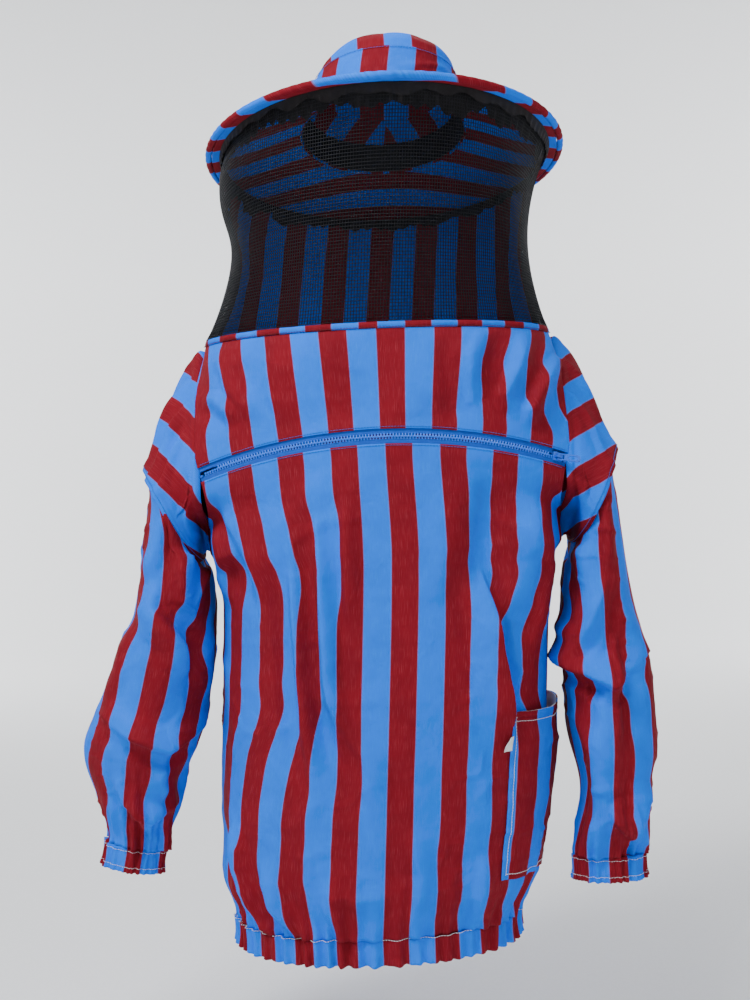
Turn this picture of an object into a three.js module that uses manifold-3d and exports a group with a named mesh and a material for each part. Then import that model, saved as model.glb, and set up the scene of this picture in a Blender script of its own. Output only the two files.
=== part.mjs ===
// Beekeeping jacket with a zip-on hooded hat and veil.
// Millimetres, +Z up. The origin is the centre of the collar seam, at the base of the neck.
// +X is the wearer's left, and the jacket's front faces -Y.

import * as THREE from 'three';
import { LoftGeometry } from 'three/addons/geometries/LoftGeometry.js';
import { mergeVertices } from 'three/addons/utils/BufferGeometryUtils.js';
import Module from 'manifold-3d';

const wasm = await Module();
wasm.setup();

// ---------------------------------------------------------------- driving dimensions

const GAP = 0.3; // space kept between two pieces that touch
const CLOTH = 1.6; // wall of a sewn cloth panel, seam fullness included
const THIN_CLOTH = 1.2; // wall of the hat's cloth layers
const NET = 1.0; // wall of the veil's net

// collar seam, an oval round the neck
const COLLAR_HALF_WIDTH = 197;
const COLLAR_FRONT = 128;
const COLLAR_BACK = 125;
const WELT_HEIGHT = 7.4;
const WELT_THICKNESS = 2.4;
const FOLD_CLEARANCE = 1; // between the welt and the back panel, for the fold

// body
const SIDE_X = 203; // plane of each armhole
const UNDERARM_Z = -235;
const ARMHOLE_BACK = 92; // how far each armhole's rear edge lies behind the neck centre
const CHEST_HALF_WIDTH = 189;
const WAIST_HALF_WIDTH = 187;
const HEM_HALF_WIDTH = 163;
const CHEST_FRONT = 141;
const HEM_FRONT = 128;
const CHEST_BACK = 132;
const HEM_BACK = 112;
const HEM_Z = -648; // where the hem casing starts
const HEM_BAND = 27;
const BODY_SWAY = -0.065; // how the body hangs off plumb below the underarm, towards the wearer's right
const HAT_SWAY = 17; // and how far the hat sits towards the wearer's left

// zip: a flat arc across the chest, in a plane tilted about X
const ZIP_FRONT_Y = -135;
const ZIP_FRONT_Z = -118;
const ZIP_PLANE_TILT = THREE.MathUtils.degToRad(34);
const ZIP_RADIUS = 373;
const ZIP_LEAN = THREE.MathUtils.degToRad(25); // lean of the tape out of the arc's axis
const TAPE_WIDTH = 10;
const TAPE_THICKNESS = 0.8;
const CLOTH_TO_CHAIN = 8; // from the chain's middle to each cloth edge
const TAPE_CLOTH_LAP = 6; // how far cloth lies over the tape's line before it turns
const TOOTH_REACH = 3.1; // outer side of a teeth row from the chain's middle
const TOOTH_THICKNESS = 3;
const SLOT = 1.6; // running slot between the two rows, for the slider's post
const TOOTH_PITCH = 12; // one block stands for a short run of moulded teeth
const BEAD = 1.1; // width of the cord bead that the teeth are moulded on

// slider and pull
const SLIDER_LENGTH = 13;
const SLIDER_WIDTH = 9.6;
const SLIDER_PLATE = 1.2;
const SLIDER_CLEARANCE = 0.6;
const POST_THICKNESS = 0.8;
const PARKED_FROM_END = 12; // slider's middle from the end of the lower row, along the arc
const BRIDGE_SPAN = 7.6;
const BRIDGE_BAR = 1.2;
const BRIDGE_OPENING = 2.4;
const PULL_LENGTH = 24;
const PULL_WIDTH = 7.4;
const PULL_THICKNESS = 1.6;
const PULL_REST_ANGLE = THREE.MathUtils.degToRad(38);
const STOP_SIZE = 4;

// sleeves
const SEAM_OUT = 62; // outer end of the shoulder seam, out from the armhole plane
const SEAM_Z = -130;
const SLEEVE_DROP = { 1: 454, '-1': 420 }; // from that end down to the cuff, with each arm as it hangs
const CUFF_BAND = 26;
const ELASTIC_THICKNESS = 1.2;

// hat
const HAT_SIDES = 28; // facets round the hat
const BRIM_Z = 207;
const BRIM_TILT = THREE.MathUtils.degToRad(9.4);
const BRIM_RADIUS = 200;
const BRIM_RISE = 30;
const CROWN_HALF_WIDTH = 95;
const CROWN_HALF_LENGTH = 105;
const CROWN_WALL_TOP = 94;
const CROWN_TOP_HALF_WIDTH = 82;
const CROWN_HEIGHT = 138;
const STIFFENER = 1.2;
const HOOP_WIRE_RADIUS = 2.1;
const BINDING_RADIUS = 4;
const SWEATBAND_HEIGHT = 32;
const VEIL_TOP_RADIUS = 187;
const VEIL_WAIST = 17; // how far the veil's sides draw in between rim and collar
const NET_EDGE = THREE.MathUtils.degToRad(101); // where net and cloth back of the veil meet
const SIDE_BAND_WIDTH = 14;
const GATHER_BAND_HEIGHT = 13;

// pocket, a patch that wraps the wearer's left side
const POCKET_TOP = -416;
const POCKET_DEPTH = 178;
const POCKET_START = 0.47; // as a share of the way from front centre to side seam
const POCKET_WRAP = 1.37;
const POCKET_GAPE = 9;
const POCKET_FACING = 24;
const TAG_SIZE = [6, 1.4, 15];

// ---------------------------------------------------------------- small helpers

const { lerp, clamp, smoothstep } = THREE.MathUtils;
const vec = (x, y, z) => new THREE.Vector3(x, y, z);
const HALF_PI = Math.PI / 2;
const TURN = 2 * Math.PI;

// A smooth function through [key, value] pairs, flat beyond both ends.
function through(pairs) {
  const slope = (i) => {
    if (i <= 0 || i >= pairs.length - 1) return 0;
    return (pairs[i + 1][1] - pairs[i - 1][1]) / (pairs[i + 1][0] - pairs[i - 1][0]);
  };
  return (key) => {
    const k = clamp(key, pairs[0][0], pairs.at(-1)[0]);
    let i = 0;
    while (i < pairs.length - 2 && k > pairs[i + 1][0]) i++;
    const span = pairs[i + 1][0] - pairs[i][0];
    const t = (k - pairs[i][0]) / span;
    const rise = pairs[i + 1][1] - pairs[i][1];
    const a = slope(i) * span - rise;
    const b = rise - slope(i + 1) * span;
    return pairs[i][1] + t * rise + t * (1 - t) * ((1 - t) * a + t * b);
  };
}

// A point on the cubic from a to d that leaves towards b and arrives from c.
function cubic(a, b, c, d, t) {
  return new THREE.CubicBezierCurve3(a, b, c, d).getPoint(t);
}

// Turns a closed geometry's faces outwards.
function facingOut(geometry) {
  const p = geometry.attributes.position;
  const index = geometry.index.array;
  const corner = (i) => new THREE.Vector3().fromBufferAttribute(p, index[i]);
  let volume = 0;
  for (let i = 0; i < index.length; i += 3) {
    volume += corner(i).dot(corner(i + 1).cross(corner(i + 2)));
  }
  if (volume < 0) index.reverse();
  return geometry;
}

// The direction out of a surface p(u, v) whose v runs down and whose u runs anticlockwise seen from above.
function outwards(surface, u, v) {
  const step = 1e-3;
  const along = surface(u + step, v).sub(surface(u - step, v));
  const down = surface(u, v + step).sub(surface(u, v - step));
  return down.cross(along).normalize();
}

const evenly = (count) => Array.from({ length: count + 1 }, (_, i) => i / count);

// A closed sheet of one wall thickness under the outer surface p(u, v), for u from u0 to u1 and v in rows.
function sheet(surface, columns, rows, wall, u0 = 0, u1 = 1) {
  const sections = rows.map((v) => {
    const outer = [];
    const inner = [];
    for (let i = 0; i <= columns; i++) {
      const u = lerp(u0, u1, i / columns);
      outer.push(surface(u, v));
      inner.push(surface(u, v).addScaledVector(outwards(surface, u, v), -wall));
    }
    return [...outer, ...inner.reverse()];
  });
  // each end closes on the line midway between the two faces
  const closing = (section) => section.map((p, i) => p.clone().lerp(section.at(-1 - i), 0.5));
  sections.unshift(closing(sections[0]));
  sections.push(closing(sections.at(-1)));
  return facingOut(new LoftGeometry(sections));
}

// A closed tube of one wall thickness under p(u, v), which comes back on itself as u goes from 0 to 1.
function tube(surface, columns, rows, wall, turn = 1) {
  const sections = [];
  for (let i = 0; i < columns; i++) {
    const outer = [];
    const inner = [];
    for (const v of evenly(rows)) {
      const inwards = outwards(surface, i / columns, v).multiplyScalar(-turn);
      outer.push(surface(i / columns, v));
      inner.push(surface(i / columns, v).addScaledVector(inwards, wall));
    }
    sections.push([...outer, ...inner.reverse()]);
  }
  sections.push(sections[0]);
  return facingOut(new LoftGeometry(sections));
}

// A ring whose closed outline, given as [inwards, down] pairs, is carried round the curve base(u).
function outlineRing(base, outline, columns, down) {
  const sections = [];
  for (let i = 0; i < columns; i++) {
    const u = i / columns;
    const along = base(u + 1e-3).sub(base(u - 1e-3));
    const inwards = along.cross(down).normalize();
    const centre = base(0).lerp(base(0.5), 0.5);
    if (inwards.dot(centre.sub(base(u))) < 0) inwards.negate();
    sections.push(
      outline.map(([i, d]) => base(u).addScaledVector(inwards, i).addScaledVector(down, d)),
    );
  }
  sections.push(sections[0]);
  return facingOut(new LoftGeometry(sections));
}

// The folded casing for an elastic: two walls and a folded bottom, open along its stitched top.
function casingOutline(height) {
  const inside = CLOTH + channelWidth();
  return [
    [0, 0],
    [0, height],
    [inside + CLOTH, height],
    [inside + CLOTH, 0],
    [inside, 0],
    [inside, height - CLOTH],
    [CLOTH, height - CLOTH],
    [CLOTH, 0],
  ];
}

function channelWidth() {
  return ELASTIC_THICKNESS + 2 * GAP;
}

// The elastic lies in that casing, clear of its walls by the gap.
function elasticOutline(height) {
  const outer = CLOTH + GAP;
  const inner = outer + ELASTIC_THICKNESS;
  const bottom = height - CLOTH - GAP;
  return [
    [outer, 2],
    [outer, bottom],
    [inner, bottom],
    [inner, 2],
  ];
}

function solid(geometry) {
  const plain = geometry.clone();
  plain.deleteAttribute('normal');
  plain.deleteAttribute('uv');
  const merged = mergeVertices(plain, 1e-3);
  return new wasm.Manifold(
    new wasm.Mesh({
      numProp: 3,
      vertProperties: new Float32Array(merged.attributes.position.array),
      triVerts: new Uint32Array(merged.index.array),
    }),
  );
}

function geometryOf(manifold) {
  const mesh = manifold.getMesh();
  const geometry = new THREE.BufferGeometry();
  geometry.setAttribute('position', new THREE.BufferAttribute(mesh.vertProperties, 3));
  geometry.setIndex(new THREE.BufferAttribute(mesh.triVerts, 1));
  return geometry;
}

function box(size, centre) {
  return solid(new THREE.BoxGeometry(...size).translate(...centre));
}

// ---------------------------------------------------------------- materials and the assembly

const finishes = {
  stripe: { color: 0x0b86dd, roughness: 0.85 },
  crossStripe: { color: 0x96232d, roughness: 0.85 },
  net: { color: 0x14161a, roughness: 0.8 },
  band: { color: 0x0d0f14, roughness: 0.85 },
  elastic: { color: 0xe8e6e0, roughness: 0.9 },
  stiffener: { color: 0xd8d8d2, roughness: 0.6 },
  wire: { color: 0xb9bcc0, roughness: 0.35, metalness: 1 },
  tape: { color: 0x0a5ad2, roughness: 0.8 },
  teeth: { color: 0x1060d8, roughness: 0.35 },
  enamel: { color: 0x0c56c4, roughness: 0.3, metalness: 0.4 },
  white: { color: 0xf0f0ec, roughness: 0.85 },
};

const jacket = new THREE.Group();
const hat = new THREE.Group();
hat.position.set(HAT_SWAY, 0, BRIM_Z);
hat.rotation.x = -BRIM_TILT;
jacket.add(hat);

function place(name, geometry, finish, parent = jacket) {
  const mesh = new THREE.Mesh(geometry, new THREE.MeshStandardMaterial(finishes[finish]));
  mesh.name = name;
  parent.add(mesh);
  return mesh;
}

// ---------------------------------------------------------------- zip geometry

// Round the arc's axis: turn is the angle from the front, rise goes up the tape, out leaves the wearer.
const zipForward = vec(0, -Math.cos(ZIP_PLANE_TILT), Math.sin(ZIP_PLANE_TILT));
const zipAxis = vec(0, Math.sin(ZIP_PLANE_TILT), Math.cos(ZIP_PLANE_TILT));
const zipCentre = vec(0, ZIP_FRONT_Y, ZIP_FRONT_Z).addScaledVector(zipForward, -ZIP_RADIUS);

function zipSpoke(turn) {
  return vec(1, 0, 0).multiplyScalar(Math.sin(turn)).addScaledVector(zipForward, Math.cos(turn));
}

function zipPoint(turn, rise, out) {
  const radius = ZIP_RADIUS + rise * Math.sin(ZIP_LEAN) + out * Math.cos(ZIP_LEAN);
  const height = rise * Math.cos(ZIP_LEAN) - out * Math.sin(ZIP_LEAN);
  return zipCentre.clone().addScaledVector(zipSpoke(turn), radius).addScaledVector(zipAxis, height);
}

function zipUp(turn) {
  return zipSpoke(turn).multiplyScalar(Math.sin(ZIP_LEAN)).addScaledVector(zipAxis, Math.cos(ZIP_LEAN));
}

// The arc ends where the yoke's lower corner reaches the armhole plane.
const cornerRise = CLOTH_TO_CHAIN + TAPE_CLOTH_LAP;
const ZIP_END = Math.asin((SIDE_X - 1) / (ZIP_RADIUS + cornerRise * Math.sin(ZIP_LEAN) + 2.5));
const arcAngle = (length) => length / ZIP_RADIUS;
const PARKED = ZIP_END - arcAngle(PARKED_FROM_END);
const UPPER_ROW_END = PARKED - arcAngle(SLIDER_LENGTH / 2 + 1.5);
const clothOut = TAPE_THICKNESS / 2 + GAP + CLOTH; // outer face of the cloth over the tape

// ---------------------------------------------------------------- the body's surfaces

const halfWidth = through([
  [HEM_Z, HEM_HALF_WIDTH],
  [lerp(HEM_Z, UNDERARM_Z, 0.12), HEM_HALF_WIDTH + 15],
  [lerp(HEM_Z, UNDERARM_Z, 0.32), WAIST_HALF_WIDTH],
  [UNDERARM_Z - 65, CHEST_HALF_WIDTH],
  [UNDERARM_Z - 22, CHEST_HALF_WIDTH + 1],
  [UNDERARM_Z, SIDE_X],
]);
const frontDepth = through([
  [HEM_Z, HEM_FRONT],
  [lerp(HEM_Z, UNDERARM_Z, 0.25), CHEST_FRONT],
  [UNDERARM_Z, CHEST_FRONT],
]);
const backDepth = through([
  [HEM_Z, HEM_BACK],
  [lerp(HEM_Z, UNDERARM_Z, 0.3), CHEST_BACK - 4],
  [-100, CHEST_BACK],
  [-WELT_HEIGHT, COLLAR_BACK],
  [0, COLLAR_BACK],
]);
const squareness = through([
  [HEM_Z, 0.9],
  [UNDERARM_Z, 0.82],
  [-30, 0.95],
  [0, 1],
]);

function sway(z) {
  const drop = Math.max(0, UNDERARM_Z - z);
  return (BODY_SWAY * drop * drop) / (drop + 40);
}

function powered(value, power) {
  return Math.sign(value) * Math.abs(value) ** power;
}

// The body's outline at a height. around is -1 and 1 at the side seams, 0 at the front centre; past 1 it goes
// on round the back, with 2 at the back centre.
function bodyPoint(around, z) {
  const angle = around * HALF_PI;
  const depth = Math.cos(angle) > 0 ? frontDepth(z) : backDepth(z);
  const power = squareness(z);
  return vec(
    halfWidth(z) * powered(Math.sin(angle), power) + sway(z),
    -depth * powered(Math.cos(angle), power),
    z,
  );
}

function collarPoint(around, z, inwards = 0) {
  const angle = around * HALF_PI;
  const depth = Math.cos(angle) > 0 ? COLLAR_FRONT : COLLAR_BACK;
  return vec(
    (COLLAR_HALF_WIDTH - inwards) * Math.sin(angle),
    -(depth - inwards) * Math.cos(angle),
    z,
  );
}

const yokeTop = -WELT_HEIGHT / 2 - GAP;
const backTop = yokeTop - FOLD_CLEARANCE;

// Front yoke, from the collar (v 0) down to the zip (v 1). around runs from -1 to 1.
const LAP_SHARE = 0.06;
function yokePoint(around, v) {
  const turn = around * ZIP_END;
  const top = collarPoint(around, yokeTop);
  const lapTop = zipPoint(turn, cornerRise, clothOut);
  const edge = zipPoint(turn, CLOTH_TO_CHAIN, clothOut);
  if (v > 1 - LAP_SHARE) return lapTop.lerp(edge, (v - 1 + LAP_SHARE) / LAP_SHARE);
  const reach = top.distanceTo(lapTop) * 0.36;
  const sideways = Math.sin(around * HALF_PI);
  const fall = vec(0.1 * sideways, -0.75 * Math.abs(sideways) - 0.1, -0.8);
  const point = cubic(
    top,
    top.clone().addScaledVector(fall.normalize(), reach),
    lapTop.clone().addScaledVector(zipUp(turn), reach),
    lapTop,
    v / (1 - LAP_SHARE),
  );
  point.x = clamp(point.x, -SIDE_X, SIDE_X);
  return point;
}

// Front body panel, from the zip (v 0) to the hem casing (v 1).
const CHEST_SHARE = 0.24;
const LAP_FRONT = 0.02;
function frontPoint(around, v) {
  const turn = around * ZIP_END;
  const edge = zipPoint(turn, -CLOTH_TO_CHAIN, clothOut);
  const lap = zipPoint(turn, -cornerRise, clothOut);
  if (v < LAP_FRONT) return edge.lerp(lap, v / LAP_FRONT);
  const chest = bodyPoint(around, UNDERARM_Z);
  if (v < CHEST_SHARE) {
    const reach = lap.distanceTo(chest) * 0.36;
    return cubic(
      lap,
      lap.clone().addScaledVector(zipUp(turn), -reach),
      chest.clone().add(vec(0, 0, reach)),
      chest,
      (v - LAP_FRONT) / (CHEST_SHARE - LAP_FRONT),
    );
  }
  return bodyPoint(around, lerp(UNDERARM_Z, HEM_Z + GAP, (v - CHEST_SHARE) / (1 - CHEST_SHARE)));
}

// Back body panel, from the welt (v 0) to the hem casing (v 1). Its upper edges follow the armholes.
const BACK_SHARE = 0.4;
function backPoint(around, v) {
  const upper = clamp(v / BACK_SHARE, 0, 1);
  const z = v < BACK_SHARE
    ? lerp(UNDERARM_Z, backTop, (1 + Math.cos(upper * Math.PI)) / 2)
    : lerp(UNDERARM_Z, HEM_Z + GAP, (v - BACK_SHARE) / (1 - BACK_SHARE));
  const point = bodyPoint(around, z);
  const edge = v < BACK_SHARE ? ARMHOLE_BACK * Math.sin(upper * Math.PI) : 0;
  if (v < BACK_SHARE) {
    const full = Math.sin(around * HALF_PI);
    const width = lerp(COLLAR_HALF_WIDTH, SIDE_X, smoothstep(upper, 0, 0.2));
    point.x = width * powered(full, squareness(z));
  }
  const share = point.y / backDepth(z);
  point.y = edge + (backDepth(z) - edge) * share;
  return point;
}

// The armhole's edge, as the panels make it: from the top (0) by the front to the underarm (0.5) and back.
const YOKE_PART = 0.29;
function armholePoint(around, side) {
  const t = ((around % 1) + 1) % 1;
  let point;
  if (t < YOKE_PART) point = yokePoint(side, t / YOKE_PART);
  else if (t < 0.5) point = frontPoint(side, CHEST_SHARE * ((t - YOKE_PART) / (0.5 - YOKE_PART)));
  else point = backPoint(2 - side, BACK_SHARE * (1 - (t - 0.5) / 0.5));
  return vec(side * (SIDE_X + GAP), point.y, point.z);
}

// ---------------------------------------------------------------- shoulders and sleeves

// Each station: how far down the sleeve (share of its drop), how far its outer edge lies past the shoulder
// seam's, how far its inner edge lies out from the armhole plane, the inner edge's height over the outer's,
// the middle's place along Y, and the half depth.
const sleeveStations = {
  1: [
    [0.0, -4, 7, -111, -4, 86],
    [0.17, 2, -4, -59, -10, 82],
    [0.36, 13, -7, -16, -20, 76],
    [0.56, 26, -2, -4, -32, 73],
    [0.75, 35, 1, 0, -42, 70],
    [0.9, 34, 4, 0, -50, 60],
    [1.0, 32, 6, 0, -54, 30],
  ],
  '-1': [
    [0.0, 0, 7, -111, -2, 86],
    [0.17, 6, -4, -59, -6, 82],
    [0.36, 20, -8, -16, -12, 77],
    [0.56, 46, -8, -4, -18, 74],
    [0.75, 73, -2, 0, -24, 71],
    [0.9, 68, 14, -6, -28, 62],
    [1.0, 52, 32, -16, -30, 34],
  ],
};

function sleeveRing(side, down) {
  const rows = sleeveStations[side];
  const column = (k) => through(rows.map((row) => [row[0], row[k]]))(down);
  const z = SEAM_Z - down * SLEEVE_DROP[side];
  return {
    outer: vec(side * (SIDE_X + SEAM_OUT + column(1)) + sway(z), column(4), z),
    inner: vec(side * (SIDE_X + column(2)) + sway(z), column(4), z + column(3)),
    depth: column(5),
  };
}

// A point of the sleeve: around turns from its outer edge (0) by the front to the inner edge (0.5) and back.
function sleevePoint(side, around, down) {
  const ring = sleeveRing(side, down);
  const angle = around * TURN;
  const middle = ring.outer.clone().lerp(ring.inner, 0.5);
  const point = middle.addScaledVector(ring.outer.clone().sub(ring.inner), Math.cos(angle) / 2);
  point.y -= ring.depth * Math.sin(angle);
  return point;
}

// The shoulder piece, from the armhole (v 0) to the shoulder seam (v 1).
function shoulderPoint(side, around, v) {
  const from = armholePoint(around, side);
  const to = sleevePoint(side, around, 0);
  const top = (1 + Math.cos(around * TURN)) / 2;
  const reach = from.distanceTo(to) * 0.3;
  const leave = vec(side, 0, -0.35 * top).normalize();
  const arrive = vec(side * lerp(0.9, 0.35, top), 0, lerp(-0.3, -0.95, top)).normalize();
  return cubic(
    from,
    from.clone().addScaledVector(leave, reach),
    to.clone().addScaledVector(arrive, -reach),
    to,
    v,
  );
}

for (const [side, name] of [[1, 'left'], [-1, 'right']]) {
  place(
    `shoulder_${name}`,
    tube((u, v) => shoulderPoint(side, u, v), 18, 4, CLOTH, -side),
    'crossStripe',
  );
  const start = 0.004;
  place(
    `sleeve_${name}`,
    tube((u, v) => sleevePoint(side, u, lerp(start, 1, v)), 18, 7, CLOTH, -side),
    'stripe',
  );
  const wrist = sleeveRing(side, 1);
  const fall = wrist.outer.clone().sub(wrist.inner).cross(vec(0, -side, 0)).normalize();
  if (fall.z > 0) fall.negate();
  const cuffTop = (u) => sleevePoint(side, u, 1).addScaledVector(fall, GAP * 2);
  place(`cuff_casing_${name}`, outlineRing(cuffTop, casingOutline(CUFF_BAND), 18, fall), 'stripe');
  place(`cuff_elastic_${name}`, outlineRing(cuffTop, elasticOutline(CUFF_BAND), 18, fall), 'elastic');
}

// ---------------------------------------------------------------- body panels and hem

const COLUMNS = 18;
const frontRows = [0, LAP_FRONT, 0.08, 0.14, 0.19, CHEST_SHARE, 0.3, 0.45, 0.6, 0.75, 0.9, 1];
place('torso_front', sheet(frontPoint, COLUMNS, frontRows, CLOTH, -1, 1), 'stripe');
const seamShare = GAP / CHEST_HALF_WIDTH;
place(
  'torso_back',
  sheet(backPoint, COLUMNS, evenly(12), CLOTH, 1 + seamShare, 3 - seamShare),
  'stripe',
);
const down = vec(0, 0, -1);
const hemTop = (u) => bodyPoint(4 * u, HEM_Z);
place('hem_casing', outlineRing(hemTop, casingOutline(HEM_BAND), 30, down), 'stripe');
place('hem_elastic', outlineRing(hemTop, elasticOutline(HEM_BAND), 30, down), 'elastic');

// ---------------------------------------------------------------- pocket

const pocketBottom = POCKET_TOP - POCKET_DEPTH;

// Distance of the pocket's face from the body: sewn down at both sides and the bottom, open along its top.
function pocketRise(across, v) {
  return POCKET_GAPE * Math.sin(across * Math.PI) ** 0.7 * (1 - v * v * v);
}

function pocketPoint(across, v, lift) {
  const around = lerp(POCKET_START, POCKET_WRAP, across);
  const z = lerp(POCKET_TOP, pocketBottom, v);
  const out = outwards((a, b) => bodyPoint(a, -b), around, -z);
  return bodyPoint(around, z).addScaledVector(out, lift + pocketRise(clamp(across, 0, 1), v));
}

const POCKET_SEAT = 2 * GAP + CLOTH;
const pocketFace = (u, v) => pocketPoint(u, v, POCKET_SEAT);
place('hip_pocket', sheet(pocketFace, 12, evenly(6), CLOTH), 'stripe');

// The facing is turned down inside the mouth, so it lies behind the pocket's face.
const facingInset = CLOTH + 1.5 * GAP;
function facingPoint(across, v) {
  const share = lerp(0.25, 0.75, across);
  return pocketPoint(share, v * (POCKET_FACING / POCKET_DEPTH), POCKET_SEAT - facingInset);
}
place('pocket_mouth_facing', sheet(facingPoint, 6, evenly(1), THIN_CLOTH), 'white');

const tagZ = POCKET_TOP - 32;
const tagOut = outwards((a, b) => bodyPoint(a, -b), POCKET_START, -tagZ);
const tag = new THREE.BoxGeometry(...TAG_SIZE);
const tagAcross = vec(0, 0, 1).cross(tagOut).normalize();
const tagPlace = bodyPoint(POCKET_START, tagZ)
  .addScaledVector(tagOut, GAP * 2 + TAG_SIZE[1] / 2)
  .addScaledVector(tagAcross, -(TAG_SIZE[0] / 2 + GAP + 0.6));
tag.applyMatrix4(new THREE.Matrix4().makeBasis(tagAcross, tagOut.clone().negate(), vec(0, 0, 1)));
tag.translate(...tagPlace);
place('pocket_tag', facingOut(tag), 'white');

// ---------------------------------------------------------------- zip pieces

// A solid along the zip through stations [turn, outline], where an outline is a list of [rise, out] pairs.
function zipLoft(stations) {
  const [[first, outline]] = stations;
  const clockwise = THREE.ShapeUtils.isClockWise(outline.map(([x, y]) => ({ x, y })));
  const turned = clockwise !== (first > stations.at(-1)[0]);
  const sections = stations.map(([turn, pairs]) => {
    const points = pairs.map(([rise, out]) => zipPoint(turn, rise, out));
    return turned ? points.reverse() : points;
  });
  return facingOut(new LoftGeometry(sections, { capStart: true, capEnd: true }));
}

function zipBand(outline, from, to, steps) {
  return zipLoft(evenly(steps).map((share) => [lerp(from, to, share), outline]));
}

// A slab of the teeth row between two distances from the chain's middle. up is 1 or -1.
function rowOutline(up, near, far) {
  const half = TOOTH_THICKNESS / 2;
  return [[up * near, -half], [up * near, half], [up * far, half], [up * far, -half]];
}

// One row of teeth: blocks standing on the cord bead that runs along the tape's edge.
function teethRow(up, end) {
  const tooth = rowOutline(up, SLOT / 2, TOOTH_REACH);
  const bead = rowOutline(up, TOOTH_REACH - BEAD, TOOTH_REACH);
  const count = Math.floor((2 * end * ZIP_RADIUS) / TOOTH_PITCH);
  const stations = [];
  for (let i = 0; i < count; i++) {
    const start = arcAngle((i - count / 2 + 0.25) * TOOTH_PITCH);
    const stop = start + arcAngle(TOOTH_PITCH / 2);
    stations.push([start, bead], [start, tooth], [stop, tooth], [stop, bead]);
  }
  return zipLoft(stations.slice(1, -1));
}

function tapeOutline(up) {
  const near = TOOTH_REACH + GAP;
  const half = TAPE_THICKNESS / 2;
  return [
    [up * near, -half],
    [up * near, half],
    [up * (near + TAPE_WIDTH), half],
    [up * (near + TAPE_WIDTH), -half],
  ];
}

place('zip_tape_lower', zipBand(tapeOutline(-1), -ZIP_END, ZIP_END, 28), 'tape');
place('zip_tape_upper', zipBand(tapeOutline(1), -UPPER_ROW_END, UPPER_ROW_END, 28), 'tape');
place('zip_teeth_lower', teethRow(-1, ZIP_END - arcAngle(STOP_SIZE + 1)), 'teeth');
place('zip_teeth_upper', teethRow(1, UPPER_ROW_END), 'teeth');

// End stops, clamped over the lower row's bead past its last teeth.
const stopOutline = rowOutline(-1, SLOT / 2, TOOTH_REACH);
for (const [side, name] of [[1, 'left'], [-1, 'right']]) {
  const from = side * (ZIP_END - arcAngle(STOP_SIZE));
  place(`zip_stop_${name}`, zipBand(stopOutline, from, side * ZIP_END, 1), 'enamel');
}

// Slider, modelled with +X along the zip, +Y up the tape and +Z out, and then parked near the left end.
const plateMiddle = TOOTH_THICKNESS / 2 + SLIDER_CLEARANCE + SLIDER_PLATE / 2;
const plateTop = plateMiddle + SLIDER_PLATE / 2;
const bridgeTop = plateTop + BRIDGE_OPENING + BRIDGE_BAR;
let slider = box([SLIDER_LENGTH, SLIDER_WIDTH, SLIDER_PLATE], [0, 0, plateMiddle]);
slider = slider.add(box([SLIDER_LENGTH, SLIDER_WIDTH, SLIDER_PLATE], [0, 0, -plateMiddle]));
slider = slider.add(box([4, POST_THICKNESS, 2 * plateMiddle], [2, 0, 0]));
for (const end of [-1, 1]) {
  const post = [(end * (BRIDGE_SPAN - BRIDGE_BAR)) / 2, 0, (plateTop + bridgeTop) / 2 - 0.3];
  slider = slider.add(box([BRIDGE_BAR, 2.4, bridgeTop - plateTop + 0.6], post));
}
slider = slider.add(box([BRIDGE_SPAN, 2.4, BRIDGE_BAR], [0, 0, bridgeTop - BRIDGE_BAR / 2]));
for (const end of [-1, 1]) {
  const nose = new THREE.CylinderGeometry(3.2, 3.2, 4 * plateTop, 4).rotateX(HALF_PI);
  nose.translate(SLIDER_LENGTH / 2 + 0.8, (end * SLIDER_WIDTH) / 2, 0);
  slider = slider.subtract(solid(nose));
}

// Pull: a flat tab with an oval hole, and an eye whose cross bar lies under the bridge.
const pinRadius = 0.8;
const pinHeight = plateTop + BRIDGE_OPENING / 2;
const tab = new THREE.Shape();
const half = PULL_WIDTH / 2;
tab.moveTo(-pinRadius, -half);
tab.lineTo(PULL_LENGTH - half, -half);
tab.absarc(PULL_LENGTH - half, 0, half, -HALF_PI, HALF_PI, false);
tab.lineTo(-pinRadius, half);
tab.closePath();
const eye = new THREE.Path();
eye.moveTo(pinRadius, -half + 1.4);
eye.lineTo(pinRadius, half - 1.4);
eye.lineTo(6.4, half - 1.4);
eye.lineTo(6.4, -half + 1.4);
eye.closePath();
const hole = new THREE.Path();
hole.absellipse(PULL_LENGTH - half - 4.5, 0, 5.4, half - 1.5, 0, TURN, true);
tab.holes.push(eye, hole);
const pull = new THREE.ExtrudeGeometry(tab, {
  depth: PULL_THICKNESS,
  bevelEnabled: false,
  curveSegments: 5,
}).translate(0, 0, -PULL_THICKNESS / 2);

const along = zipSpoke(PARKED + HALF_PI);
const up = zipUp(PARKED);
const out = along.clone().cross(up);
const parked = new THREE.Matrix4().makeBasis(along, up, out).setPosition(zipPoint(PARKED, 0, 0));
place('zip_slider', geometryOf(slider).applyMatrix4(parked), 'enamel');
const pullPlace = new THREE.Matrix4()
  .makeRotationY(-PULL_REST_ANGLE)
  .setPosition(-0.6, 0, pinHeight)
  .premultiply(parked);
place('zip_pull', geometryOf(solid(pull.applyMatrix4(pullPlace))), 'enamel');

// ---------------------------------------------------------------- yoke and welt

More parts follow.
